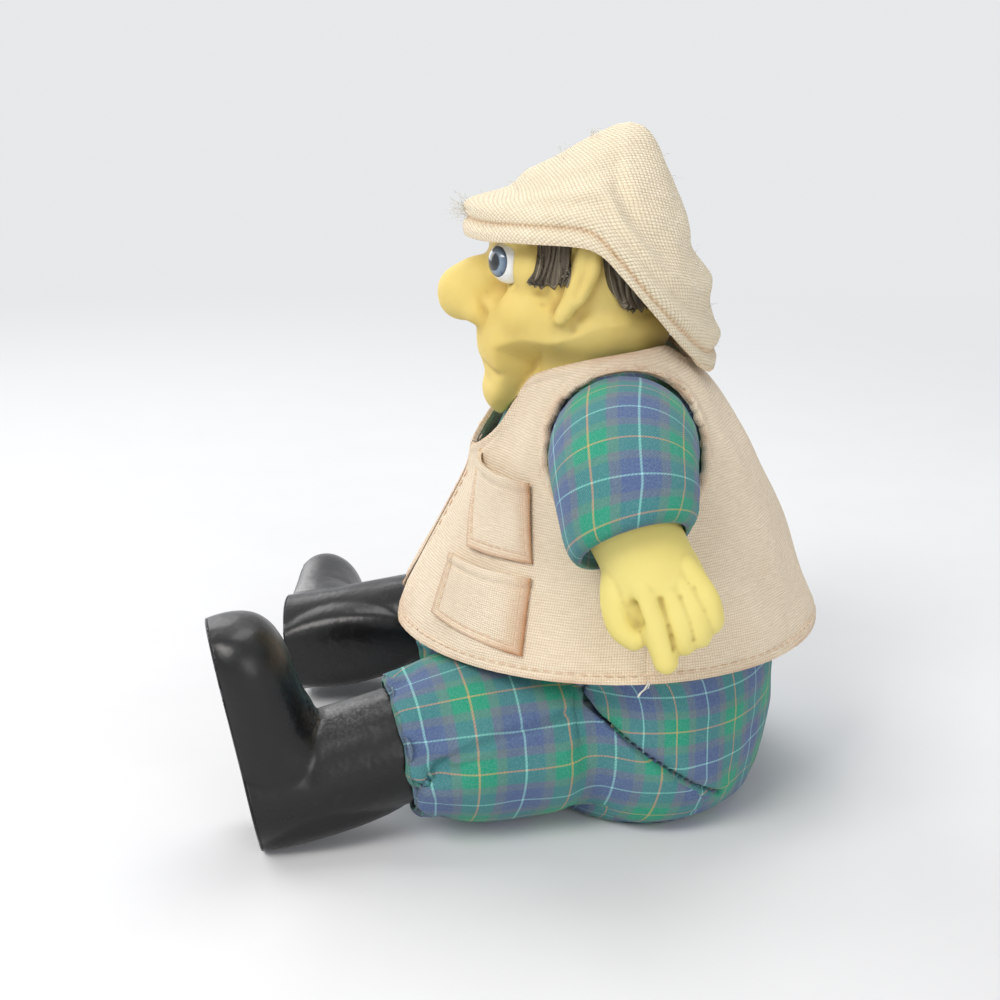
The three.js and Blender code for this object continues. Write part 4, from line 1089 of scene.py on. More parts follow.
class VestColumns:
    """Columns of cloth from the hem to the neckline, from one edge to the side seam, round the armhole."""

    def __init__(self, start, corner):
        self.start = start
        self.corner = corner
        first = solve(lambda u: -self.least(u), 0, 1)
        self.shares = [first * i / 44 for i in range(45)]
        self.shares += [first + (1 - first) * (i / 36) ** 2 for i in range(1, 37)]
        self.columns = [self.column(u) for u in self.shares]

    def theta(self, u, z):
        begin = self.start(z)
        return begin + (seam_angle(z) - begin) * u

    def least(self, u):
        return min(from_armhole(vest_point(self.theta(u, z), z)) for z in np.linspace(64, 94, 61))

    def hem(self, u):
        if not self.corner:
            return HEM_Z
        along = max(self.corner - u * 1.5 * 45, 0)
        return HEM_Z + self.corner - math.sqrt(max(self.corner ** 2 - along ** 2, 0))

    def column(self, u):
        """Hem, lower and upper edge of the armhole, and neckline."""
        def gap(z):
            return from_armhole(vest_point(self.theta(u, z), z))

        top = solve(lambda z: z - neckline(vest_point(self.theta(u, z), z).y)[0], 66, 99)
        near = min(np.linspace(63, min(top, 94), 125), key=gap)
        if gap(near) >= 0:
            return self.hem(u), near, near, top
        low = solve(lambda z: -gap(z), HEM_Z + 10, near)
        high = solve(gap, near, top)
        return self.hem(u), low, high, top

    def spot(self, u, v, upper):
        k = round(u * (len(self.shares) - 1))
        hem, low, high, top = self.columns[k]
        z = mix(high, top, v) if upper else mix(hem, low, v)
        return self.shares[k], self.theta(self.shares[k], z), z, self.columns[k]

    def from_edge(self, u, v, upper):
        """Distance from the nearest open edge."""
        _, theta, z, (hem, _, _, top) = self.spot(u, v, upper)
        gaps = [z - hem, max(from_armhole(vest_point(theta, z)), 0), (top - z) * 0.8]
        if self.corner:
            gaps.append((theta - self.start(z)) * vest_row(z)[0])
        return min(gaps), theta, z

    def place(self, u, v, upper):
        edge, theta, z = self.from_edge(u, v, upper)
        # The turned edge and its sewn line, then the collar, which flares in front and leans in behind
        lift = 0.28 * bump(edge, 0.7, 0.7) - 0.3 * bump(edge, SEAM_IN, 0.35)
        below = self.spot(u, v, upper)[-1][-1] - z
        lift += mix(1.6 * bump(below, 0, 4), -1.1 * bump(below, 0, 5), bump(theta, math.pi, 0.8))
        # Folds that hang to the hem, creases on the back and the groove of the side seam
        drape = min(max((62 - z) / 25, 0), 1)
        fold = 0.6 * drape * math.sin(theta * 6.5 + 0.9) + 0.85 * wave((theta * 38, 0, z * 0.55), 10)
        fold += 0.35 * math.sin((theta * 38 + z * 1.2) / 3.6) * bump(theta, 2.3, 0.55)
        fold -= 0.8 * bump(theta - seam_angle(z), 0, 0.012) * drape
        pucker = 0.07 * math.sin(theta * 40 * 2.6) * bump(edge, 1.2, 1.2)
        return vest_point(theta, z, lift + fold * min(edge / 3, 1) + pucker)

    def stain_and_shade(self, u, v, upper):
        edge, theta, z = self.from_edge(u, v, upper)
        worn = 0.5 + 0.5 * wave((theta * 40, 3, z), 6, 5)
        return 0.75 * math.exp(-edge / 0.7) * worn + (0.35 * bump(z, HEM_Z + 2, 4) * bump(theta, 0.1, 0.2))

    def fill(self, bm):
        last = len(self.shares) - 1
        for upper, rows in ((False, 56), (True, 26)):
            cloth_grid(bm, last, rows, lambda u, v: self.place(u, v, upper),
                       lambda u, v: self.flat(u, v, upper), lambda u, v: self.stain_and_shade(u, v, upper))

    def flat(self, u, v, upper):
        _, theta, z, _ = self.spot(u, v, upper)
        return theta * VEST_ROUND, z


def make_vest():
    fronts = VestColumns(front_edge, 9)
    bm = bmesh.new()
    fronts.fill(bm)
    left = loose_object("vest_front_cloth_left", bm, 1e-6)
    right = mirrored(left, "vest_front_cloth_right")
    bm = bmesh.new()
    VestColumns(lambda z: math.pi, 0).fill(bm)
    half = loose_object("half_back", bm, 1e-6)
    other = mirrored(half, "other_half")
    bm = bmesh.new()
    bm.from_mesh(half.data)
    bm.from_mesh(other.data)
    back = loose_object("vest_back_cloth", bm, 2e-5)
    bpy.data.objects.remove(half)
    bpy.data.objects.remove(other)
    for obj, node_name, flat, area in ((left, "vest_front_left", (0.062, 0.064), 0.0031),
                                       (right, "vest_front_right", (0.062, 0.064), 0.0031),
                                       (back, "vest_back", (0.14, 0.066), 0.0064)):
        face_outwards(obj, 60)
        thicken(obj, 1.0)
        ready(obj, VEST_CANVAS, "torso", "vest_canvas", node_name)
    make_edge_rolls()
    make_pockets()
    make_stitches()
    make_loose_thread()


def face_outwards(obj, height):
    """Turns an open sheet so that its faces look away from the figure's axis at a height."""
    middle = Vector((0, 0, height * MM))
    score = sum((p.center - middle).dot(p.normal) * p.area for p in obj.data.polygons)
    if score < 0:
        obj.data.flip_normals()


def outwards(point):
    """The level way out of the waistcoat at a point."""
    return Vector((point.x, point.y - 2, 0)).normalized()


def roll(name, line, radius, flatten):
    """A rolled edge of canvas round a closed line of points."""
    rings = []
    for i, point in enumerate(line):
        way = (line[(i + 1) % len(line)] - line[i - 1]).normalized()
        out = outwards(point)
        out = (out - way * out.dot(way)).normalized()
        size = radius * (1 + 0.25 * wave(point, 2.2, 4))
        rings.append((point, out * size * flatten, way.cross(out) * size))
    rings.append(rings[0])
    bm = bmesh.new()
    ring_tube(bm, rings, 12, stain_and_shade=lambda u, i: 0.2 + 0.5 * wave((i, u * 4, 0), 7, 2))
    ready(loose_object(name, bm, 2e-6), VEST_CANVAS, "torso", "vest_canvas")


def on_vest_side(y, z):
    """The point of the waistcoat's left side over a place seen from the side."""
    wide, deep, middle = vest_row(z)
    share = min(max((middle - y) / deep, -1), 1)
    return Vector((wide * math.sqrt(1 - share * share), y, z))


def make_edge_rolls():
    """The turned edges of the armholes."""
    y, z, reach = ARMHOLE
    steps = 240
    line = []
    for i in range(steps):
        turn = 2 * math.pi * i / steps
        spot = (14 * math.cos(turn), 14 * math.sin(turn), 0)
        jag = 0.45 * wave(spot, 2.6, 6) + 0.34 * wave(spot, 0.9, 3)
        radius = reach + 0.25 + jag + 0.9 * bump(turn, math.pi / 2, 0.09)
        line.append(on_vest_side(y + radius * math.cos(turn), z + radius * math.sin(turn)))
    for side, sign in SIDES.items():
        roll(f"armhole_edge_{side}", sided(line, sign), 0.7, 1.5)


# Top and bottom corners, front and rear, as degrees from the front centre and height; and how far it gapes
POCKETS = {"chest": ((14, 74.5), (52, 72.5), (34, 57.5), (61, 58), 3.0),
           "waist": ((27, 55), (62, 55.5), (31, 43.5), (65, 41), 0.8)}


def pocket_spot(corners, u, v):
    """Angle and height of a place on a patch pocket; v runs up."""
    (tl, tr, bl, br) = corners[:4]
    low = [mix(a, b, u) for a, b in zip(bl, br)]
    high = [mix(a, b, u) for a, b in zip(tl, tr)]
    return math.radians(mix(low[0], high[0], v)), mix(low[1], high[1], v)


def pocket_place(corners, u, v):
    theta, z = pocket_spot(corners, u, v)
    edge = min(u, 1 - u, v) * 20
    belly = corners[4] * math.sin(math.pi * u) ** 0.8 * v * v
    lift = 0.8 + 0.25 * bump(edge, 0.6, 0.7) - 0.3 * bump(edge, 1.6, 0.4) + belly
    lift += 0.3 * bump((1 - v) * 16, 1.0, 1.0) - 0.25 * bump((1 - v) * 16, 2.6, 0.4)
    return vest_point(theta, z, lift + 0.3 * wave((theta * 40, 7, z), 6, 8) * min(edge / 3, 1))


def make_pockets():
    for name, corners in POCKETS.items():
        bm = bmesh.new()
        cloth_grid(bm, 48, 44, lambda u, v: pocket_place(corners, u, v), lambda u, v: (u * 24, v * 17),
                   lambda u, v: 0.75 * math.exp(-min(u, 1 - u, v) * 26) + 0.3 * bump(u, 0.93, 0.12))
        left = loose_object(f"{name}_pocket_cloth_left", bm)
        right = mirrored(left, f"{name}_pocket_cloth_right")
        for obj, side in ((left, "left"), (right, "right")):
            face_outwards(obj, 60)
            thicken(obj, 0.8, 0.25)
            ready(obj, VEST_CANVAS, "torso", "vest_canvas", f"{name}_pocket_{side}")


TO_LENGTH = Matrix.Rotation(math.pi / 2, 4, "Y")  # lays a stitch along its seam


def stitch_run(bm, line, pitch=2.4):
    """Adds sewn stitches along a line of points."""
    far = 0.0
    for a, b in zip(line, line[1:]):
        step = (b - a).length
        while far < step:
            point = a + (b - a) * (far / step)
            way = (b - a).normalized()
            side = way.cross(outwards(point)).normalized()
            axes = Matrix((way * 0.85, side * 0.2, way.cross(side) * 0.2)).transposed().to_4x4()
            place = Matrix.Translation(point * MM) @ axes @ Matrix.Scale(MM, 4)
            bmesh.ops.create_uvsphere(bm, u_segments=6, v_segments=4, radius=1, matrix=place @ TO_LENGTH)
            far += pitch
        far -= step


def make_stitches():
    proud = 0.12
    bm = bmesh.new()
    hem = [vest_point(math.radians(i / 2), HEM_Z + SEAM_IN, proud) for i in range(28, 693)]
    stitch_run(bm, hem)
    front = [vest_point(front_edge(z) + SEAM_IN / vest_row(z)[0], z, proud) for z in np.linspace(46, 75, 52)]
    down, along = np.linspace(0.97, 0.1, 24), np.linspace(0.07, 0.93, 24)
    path = [(0.07, v) for v in down] + [(u, 0.1) for u in along]
    path += [(0.93, v) for v in np.linspace(0.1, 0.97, 24)]
    for sign in SIDES.values():
        stitch_run(bm, sided(front, sign))
        for corners in POCKETS.values():
            stitch_run(bm, sided([pocket_place(corners, u, v) for u, v in path], sign), 2.1)
    obj = loose_object("vest_stitches", bm)
    ready(obj, SEWING_THREAD, "torso", "vest_canvas")


def fibre(bm, start, steps, radius):
    """A fine thread from a point through steps, drawn out of a four-sided ring."""
    way = steps[0].normalized()
    turn = Vector((0, 0, 1)).rotation_difference(way).to_matrix().to_4x4()
    place = Matrix.Translation(start * MM) @ turn
    verts = bmesh.ops.create_circle(bm, cap_ends=True, segments=4, radius=radius * MM, matrix=place)["verts"]
    face = verts[0].link_faces[0]
    for step in steps:
        made = bmesh.ops.extrude_face_region(bm, geom=[face])["geom"]
        face = next(g for g in made if isinstance(g, bmesh.types.BMFace))
        bmesh.ops.translate(bm, vec=step * MM, verts=face.verts)


def make_loose_thread():
    """The thread end that hangs at the foot of the left side seam."""
    bm = bmesh.new()
    start = vest_point(seam_angle(HEM_Z + 0.5), HEM_Z + 0.6, 0.2)
    thick = ((0.4, -0.1, -0.5), (0.3, -0.5, -0.8), (0.1, -0.8, -0.7), (0, -0.5, -0.9))
    thin = ((0.3, 0.2, -0.5), (0.3, -0.3, -0.7), (0.2, -0.8, -0.4))
    fibre(bm, start, [Vector(s) for s in thick], 0.24)
    fibre(bm, start + Vector((0.1, 0.1, 0)), [Vector(s) for s in thin], 0.14)
    ready(loose_object("seam_thread", bm), WHITE_THREAD, "torso", "vest_canvas")


# Head, hair and cap


def make_head():
    bm = bmesh.new()
    # Skull, jaw, jowls, chin, nose and its bridge, brow, upper lip, root of the nose, nape
    for middle, sizes in (
            ((0, -4, 112), (18.6, 17.4, 17.2)), ((0, -10, 96.4), (17.8, 16.4, 14.6)),
            ((0, -3.5, 100), (18.7, 15.2, 11)), ((0, -20, 85.6), (8, 5.4, 5.9)),
            ((0, -28.8, 105.7), (6.2, 6, 6.1)), ((0, -25.2, 108.6), (5.4, 6.4, 4.8)),
            ((0, -17, 116.6), (13, 6.6, 6)), ((0, -21.6, 102), (8.4, 5.6, 5.4)),
            ((0, -18.4, 112.6), (7, 5.8, 6.4)), ((0, 4, 98.4), (15.4, 10.4, 8))):
        lump(bm, middle, sizes)
    # Cheek, eyebrow, wing of the nose, cheekbone, and the ear in three lumps
    for side in SIDES.values():
        lump(bm, (9.6 * side, -13.8, 102), (8, 8.4, 8.4))
        lump(bm, (8.8 * side, -17, 119.4), (6.6, 5.6, 2.8))
        lump(bm, (4.4 * side, -26.2, 102.4), (3, 3.4, 3))
        lump(bm, (12.6 * side, -15.2, 112.6), (5, 3.8, 5.4))
        lump(bm, (20.2 * side, -4.4, 114.8), (2.3, 3, 5.8), -8)
        lump(bm, (19.8 * side, -6, 110), (2.1, 2.8, 5.4), -18)
        lump(bm, (19 * side, -8.6, 105.4), (2, 2, 4.4), -28)
    obj = skin("head_cast", bm, 0.6, 26)
    clear_collar(obj)
    bm = bmesh.new()
    bm.from_mesh(obj.data)
    bpy.data.objects.remove(obj)
    obj = skin("head_cast", bm, 0.5, 14)
    shape_face(obj)
    shape_lids(obj)
    clear_collar(obj, rest=True)
    x, y, z = points_of(obj.data).T / MM
    soften(obj, (y > -13) & (z < np.interp(y, *zip(*NECKLINE)) + 5), 90)
    soften(obj, z < chest_top(x, y) + 1.8, 8)
    # painted shade in the hollows of the face
    paint_hollow_shade(obj, 4, 3.6)
    add_neck(obj)
    ready(obj, FACE_PAINT, "head", "skin_paint", "head")
    return obj


def shape_face(obj):
    """Creases, hollows and ridges of the face; points, depth and width."""
    for line, depth, width in (
            ([(6.8, -25.4, 105.6), (7.2, -24.6, 102.8), (6, -24.4, 100)], 0.8, 0.8),
            ([(0, -27, 91.2), (5, -25.4, 91), (9, -21.8, 89.4), (11.2, -19, 87.4)], 0.9, 1.0),
            ([(16.4, -17, 99.4), (15, -19.6, 98)], 0.8, 3.0),
            ([(12.6, -22, 95.5), (14.6, -18.4, 91.5)], -0.4, 2.6),
            ([(13.4, -17.6, 109), (15.2, -15, 107.9), (16.8, -12.4, 108)], 0.45, 0.5),
            ([(13.2, -17.6, 107.2), (15, -15.4, 105.8), (16.4, -13, 105.8)], 0.4, 0.45),
            ([(15, -15.6, 118), (16.2, -13.6, 116.6), (16.4, -13.2, 113.6)], 0.4, 0.5),
            ([(21.6, -4.6, 117.5), (21.6, -5.2, 113), (20.8, -6.8, 108.4)], 0.8, 1.2),
            ([(18, -7.8, 116), (17.8, -9.2, 110), (17.2, -10.8, 103.6)], 0.6, 0.8),
            ([(18.4, -1.6, 112), (18, -4, 106), (17.4, -7, 101.8)], 0.6, 1.0),
            ([(17.2, -2, 101.4), (17.6, -7, 100.6)], 0.35, 0.7)):
        groove(obj, line, depth, width, mirror=True)
    points = points_of(obj.data) / MM
    raise_points(obj, np.array([0.24 * wave(p, 6.5, 2) + 0.05 * wave(p, 2.2, 7) for p in points]))


def rows_at(rows, heights, low=50, high=99.9):
    """The columns of a table of rows, read at many heights."""
    table = np.array([[z, *rows(z)] for z in np.linspace(low, high, 200)])
    return [np.interp(heights, table[:, 0], column) for column in table.T[1:]]


SOFT_LIMIT = 0.035  # how gently the jaw bends in at the collar


def turn_head(x, y, turn):
    """Places after a turn of the head about its neck."""
    return (x * math.cos(turn) - (y - NECK_Y) * math.sin(turn),
            x * math.sin(turn) + (y - NECK_Y) * math.cos(turn) + NECK_Y)


def clear_collar(obj, over=False, rest=False):
    """Keeps the head inside the waistcoat's neck, or the cap over its back, at every turn of the head.

    With rest, the head also stays above the chest.
    """
    points = points_of(obj.data) / MM
    low = points[:, 2] < 104
    x, y, z = points[low].T
    angles = np.linspace(0, math.pi, 90)
    edge = np.array([vest_top(angle) for angle in angles])
    edge[1:-1] = np.maximum(edge[1:-1], np.maximum(edge[:-2], edge[2:]))  # the highest edge near by
    for turn in [math.radians(HEAD_TURN * t) for t in (0, -1, 1, -0.5, 0.5, 0)]:
        px, py = turn_head(x, y, turn)
        wide, deep, middle = rows_at(vest_row, np.minimum(z, 92))
        angle = np.arctan2(np.abs(px) / wide, (middle - py) / deep)
        collar = np.interp(angle, angles, edge)
        beside = np.clip((angle - 0.75) / 0.5, 0, 1)  # 0 in front, 1 at the sides and behind
        wide, deep, middle = rows_at(vest_row, np.minimum(z, collar))
        behind = np.clip((collar - z) / 5 + (py - 8) / 8, 0, 1)
        spare = 1.5 if over else mix(-2.7, -1.3, beside) - 0.8 * behind
        reach = np.hypot(px / (wide + spare), (py - middle) / (deep + spare))
        above = np.maximum(z - collar - mix(1.2, 0.2, beside), 0)
        if over:
            shift = np.where((reach < 1) & (py > 6) & (above < 0.6), 1 / reach, 1)
        else:
            limit = 1 + 0.05 * above + 0.02 * above ** 2
            held = -SOFT_LIMIT * np.log(np.exp(-reach / SOFT_LIMIT) + np.exp(-limit / SOFT_LIMIT))
            shift = held / np.maximum(reach, 0.01)
        x, y = turn_head(px * shift, middle + (py - middle) * shift, -turn)
    if rest:
        z = np.maximum(z, chest_top(x, y) + 0.8)
    points[low] = np.stack([x, y, z], axis=1)
    move_points(obj.data, points * MM)


def soften(obj, chosen, rounds):
    """Smooths the chosen part of a surface."""
    bm = bmesh.new()
    bm.from_mesh(obj.data)
    verts = [v for v, wanted in zip(bm.verts, chosen) if wanted]
    for _ in range(rounds):
        bmesh.ops.smooth_vert(bm, verts=verts, factor=0.5, use_axis_x=True, use_axis_y=True,
                              use_axis_z=True)
    bm.to_mesh(obj.data)
    bm.free()


def chest_top(x, y):
    """Height of the chest and shoulders under each place, at every turn of the head."""
    heights = np.linspace(60, 93.4, 85)
    wide, deep, middle = [c[None] for c in rows_at(body_row, heights)]
    best = np.zeros(len(x))
    for turn in [math.radians(HEAD_TURN * t) for t in (-1, 0, 1)]:
        px, py = turn_head(x, y, turn)
        under = (px[:, None] / wide) ** 2 + ((py[:, None] - middle) / deep) ** 2 < 1
        best = np.maximum(best, np.where(under, heights[None], 0).max(axis=1))
    return best


def shape_lids(obj):
    """A soft lid round each eye."""
    for eye in sided([EYE], 1) + sided([EYE], -1):
        way = points_of(obj.data) - np.array(eye) * MM
        far = np.linalg.norm(way, axis=1)
        lid = 0.5 * np.exp(-(((far / MM - EYE_RADIUS - 0.7) / 0.7) ** 2))
        front = np.clip(-way[:, 1] / np.maximum(far, 1e-9) + 0.9, 0, 1)
        raise_points(obj, lid * front)


def add_neck(obj):
    """The neck, with its groove for the tie and its flange, inside the collar."""
    bm = bmesh.new()
    bm.from_mesh(obj.data)
    ring_tube(bm, upright([(84, TIP), (84, 8.2), (84.4, 8.6), (91.4, 8.6), (92.6, 7), (103, 7), (103, TIP)],
                          NECK_Y), 40)
    bmesh.ops.remove_doubles(bm, verts=bm.verts, dist=1e-6)
    bmesh.ops.recalc_face_normals(bm, faces=bm.faces)
    bm.to_mesh(obj.data)
    bm.free()
    obj.data.shade_smooth()


def make_eyes():
    """Glossy balls with a raised, painted iris that looks forwards and aside."""
    for side, sign in SIDES.items():
        bm = bmesh.new()
        middle = Vector((EYE.x * sign, EYE.y, EYE.z))
        bmesh.ops.create_uvsphere(bm, u_segments=96, v_segments=64, radius=EYE_RADIUS * MM,
                                  matrix=Matrix.Translation(middle * MM))
        gaze = Vector((0.60 * sign, -0.79, 0.08)).normalized()
        for v in bm.verts:
            lift = max(((v.co / MM - middle).normalized().dot(gaze) - 0.74) / 0.26, 0)
            v.co += gaze * (0.22 * math.sqrt(lift) * MM)
        obj = loose_object(f"eye_ball_{side}", bm)
        ways = [(Vector(p) / MM - middle).normalized() for p in points_of(obj.data)]
        paint_mark(obj, "gaze", [(way.dot(gaze) + 1) / 2 for way in ways])
        ready(obj, EYE_GLOSS, "head", "eye_gloss", f"eye_{side}")


def hair_patch(name, head, outline, ridges):
    """A coat of combed hair on the head; the outline is y and z of its two edges from the top down."""
    tree = BVHTree.FromObject(head, bpy.context.evaluated_depsgraph_get())
    left, right = [through(edge) for edge in outline]

    def strand(u, v):
        return ridges * (u + 0.06 * math.sin(5 * v + 9 * u))

    def place(u, v):
        a, b = left(v), right(v)
        y, z = mix(a[0], b[0], u), mix(a[1], b[1], u)
        z -= v * v * (1.4 * math.sin(math.pi * u) + 0.5 * math.sin(2 * math.pi * strand(u, v)))
        hit, normal, _, _ = tree.ray_cast(Vector((60, y, z)) * MM, Vector((-1, 0, 0)))
        rim = min(u * 9, (1 - u) * 9, (1 - v) * 9, 1)
        ridge = abs(math.sin(math.pi * strand(u, v))) ** 0.6 + 0.3 * wave((u * 40, v * 3, 0), 3, 1)
        out = Vector((0.7, 0, 0)) + normal * 0.3
        return hit / MM + out * (rim * (0.65 + 0.6 * ridge) - 0.35 * (1 - rim))

    bm = bmesh.new()
    cloth_grid(bm, 90, 40, place, lambda u, v: (u * 8, v * 14))
    return loose_object(name, bm)


def make_hair(head):
    sideburn = ([(-14.4, 120), (-14.4, 116), (-15.2, 112.6), (-16.5, 110.2)],
                [(-7, 120), (-7.3, 116), (-7.4, 113), (-7.8, 110.4)])
    left = hair_patch("sideburn_cast_left", head, sideburn, 5.5)
    nape = ([(-1.8, 117.5), (-1.4, 113), (-0.2, 109), (2.6, 105.4)],
            [(8, 117.5), (8.6, 112), (9, 108), (9.4, 104.8)])
    behind = hair_patch("nape_cast_left", head, nape, 5.5)
    right = mirrored(left, "sideburn_cast_right")
    other = mirrored(behind, "nape_cast_right")
    for obj, node_name in ((left, "sideburn_left"), (right, "sideburn_right"), (behind, "nape_hair"),
                           (other, "nape_hair")):
        ridges = 0.4 - 3.2 * hollow_share(obj.data)
        paint_mark(obj, "ridge", np.clip(ridges, 0, 1))
        wall = obj.modifiers.new("coat", "SOLIDIFY")
        wall.thickness = 0.9 * MM
        wall.offset = -1
        ready(obj, HAIR_PAINT, "head", "hair_paint", node_name)


# The cap's height, half width, half depth and middle, and its rim as y and z
HAT_ROWS = [(84, 23.6, 26, -2), (99.7, 25.4, 25.4, -2.6), (112.2, 26, 24.4, -4.6), (121.6, 23.4, 22.3, -5.8),
            (127.5, 18.6, 17.4, -3.4), (133.4, 11.6, 10.6, 0.6), (137.8, 5.6, 5.4, 3.6), (140, 1.4, 1.6, 4.6)]
RIM = [(-36, 118.2), (-26.6, 118), (-17.5, 118.5), (-7.1, 118.3), (-2.4, 116.8), (1.4, 113.1), (7.4, 106.2),
       (14.4, 98), (19.4, 93), (22.6, 91.2), (30, 90.4)]
PEAK = Vector((0, 4.6, 140))
hat_row = by_first(HAT_ROWS)
rim_line = by_first(RIM)


def hat_point(theta, z, off=0.0):
    wide, deep, y = hat_row(z)
    return Vector(((wide + off) * math.sin(theta), y - (deep + off) * math.cos(theta), z))


class HatColumns:
    """Columns of canvas from the rim of the cap to its peak."""

    def __init__(self, around, low, high, rows, profile):
        self.around = around
        self.rows = rows
        self.profile = profile
        self.columns = [self.column(2 * math.pi * i / around, low, high) for i in range(around + 1)]

    def column(self, theta, low, high):
        """Heights at even steps of length from the rim, between two lengths, or to the peak."""
        rim = solve(lambda z: z - rim_line(hat_point(theta, z).y)[0], 84.5, 126)
        steps = 160
        heights = [mix(rim, PEAK.z - 0.05, (i / steps) ** 1.2) for i in range(steps + 1)]
        lengths = [0]
        for a, b in zip(heights, heights[1:]):
            lengths.append(lengths[-1] + (hat_point(theta, b) - hat_point(theta, a)).length)
        end = lengths[-1] if high is None else high
        spots = []
        for i in range(self.rows + 1):
            far = mix(low, end, (i / self.rows) ** (1.6 if high is None else 1))
            k = min(max(bisect.bisect(lengths, far), 1), steps)
            share = (far - lengths[k - 1]) / max(lengths[k] - lengths[k - 1], 1e-9)
            spots.append((far, mix(heights[k - 1], heights[k], min(share, 1)), lengths[-1]))
        return spots

    def spot(self, u, v):
        i = round(u * self.around)
        return 2 * math.pi * i / self.around, *self.columns[i][round(v * self.rows)]

    def place(self, u, v):
        theta, far, z, length = self.spot(u, v)
        point = hat_point(theta, z)
        fade = min((length - far) / 8, 1)  # no folds at the peak
        turn = min(theta, 2 * math.pi - theta)
        fold = 0.6 * wave(point, 13, 9) + 0.3 * wave(point, 5, 11)
        # The soft roll above the band and the dip over it, both higher towards the back
        fold += 1.1 * bump(far, 7 + 3.2 * turn, 2.4) - 0.9 * bump(far, 12.5 + 4 * turn, 3.6)
        fold += 0.5 * math.sin(2.2 * turn + far * 0.35) * bump(far, 16, 8)
        side = Vector((math.sin(theta), -math.cos(theta), 0.25))
        return point + side * (self.profile(far) + fold * fade * min(far / 6, 1))

    def flat(self, u, v):
        theta, far, _, length = self.spot(u, v)
        turn = 0.62 * (theta - math.pi) + 0.35
        return ((length - far) * math.sin(turn) + 80, (length - far) * math.cos(turn) + 80)

    def stain_and_shade(self, u, v):
        far = self.spot(u, v)[1]
        # painted shade along the crease above the band, and darker along the rim
        return 0.45 * bump(far, 3.7, 0.5) + 0.2 * bump(far, 0, 0.6)

    def fill(self, bm):
        cloth_grid(bm, self.around, self.rows, self.place, self.flat, self.stain_and_shade)


def make_cap():
    crown = HatColumns(144, 3.2, None, 80,
                       lambda far: 1.2 * bump(far, 6.4, 2.2) - 0.9 * bump(far, 3.2, 0.8))
    bm = bmesh.new()
    crown.fill(bm)
    peak = [v for v in bm.verts if v.co.z > (PEAK.z - 0.1) * MM]
    bmesh.ops.pointmerge(bm, verts=peak, merge_co=PEAK * MM)
    obj = loose_object("cap_crown_canvas", bm, 3e-5)
    band = HatColumns(144, 0, 5, 18,
                      lambda far: 0.5 * bump(far, 1.7, 1.4) - 0.55 * bump(far, 5, 1.6) - 0.2)
    bm = bmesh.new()
    band.fill(bm)
    strip = loose_object("cap_band_canvas", bm, 3e-5)
    for made, node_name, flat, area in ((obj, "hat_crown", (0.13, 0.055), 0.0042),
                                        (strip, "hat_band", (0.165, 0.012), 0.0009)):
        face_outwards(made, 112)
        clear_collar(made, over=True)
        thicken(made, 0.9, 0.3)
        ready(made, CAP_CANVAS, "head", "cap_canvas", node_name)
    make_fray(crown)


def make_fray(crown):
    """Stray fibres at the front tip, the peak and along the cap: turn, rise and length of each."""
    bm = bmesh.new()
    places = [(0.03 * math.sin(k * 2.1), 0.02 + 0.16 * abs(math.sin(k * 1.7)), 1.5) for k in range(44)]
    places += [(k * 0.618, 0.03 + 0.06 * abs(math.sin(k)), 0.7) for k in range(40)]
    places += [(0.08 * math.sin(k * 3.3), 0.2 + 0.7 * abs(math.sin(k * 0.9)), 0.8) for k in range(34)]
    places += [(0.5 + 0.1 * math.sin(k * 2.7), 0.1 + 0.8 * abs(math.sin(k * 1.1)), 0.7) for k in range(30)]
    for k, (turn, rise, size) in enumerate(places):
        start = crown.place(turn % 1, rise)
        way = Vector((start.x, start.y + 3, 4)).normalized()
        steps = []
        for i in range(5):
            bend = Vector((wave((k, i, 0), 1.7, 1), wave((k, i, 5), 1.7, 2), wave((k, i, 9), 1.7, 3)))
            way = (way + bend * 1.3).normalized()
            steps.append(way * (0.3 + 0.4 * abs(math.sin(k * 1.3))) * size)
        fibre(bm, start, steps, 0.04)
    ready(loose_object("cap_fray", bm, 1e-8), WHITE_THREAD, "head", "cap_canvas")


# Hands and boots


def rod(bm, points, radii):
    """A round finger of clay through points, with a radius at each."""
    path = through([(*p, r) for p, r in zip(points, radii)])
    steps = 14
    rows = [path(i / steps) for i in range(steps + 1)]
    rings = []
    for i, (x, y, z, radius) in enumerate(rows):
        before, after = Vector(rows[max(i - 1, 0)][:3]), Vector(rows[min(i + 1, steps)][:3])
        way = (after - before).normalized()
        one = way.cross(Vector((1, 0.1, 0))).normalized()
        rings.append((Vector((x, y, z)), one * radius, way.cross(one) * radius, way))
    ends = []
    for (middle, one, two, way), sign in ((rings[0], -1), (rings[-1], 1)):
        radius = one.length
        for share in (0.35, 0.7, 0.92, 1.0):
            size = math.sqrt(max(1 - share * share, 1e-5))
            ends.append((middle + way * radius * share * sign, one * size, two * size))
    tube = list(reversed(ends[:4])) + [r[:3] for r in rings] + ends[4:]
    ring_tube(bm, tube, 16)


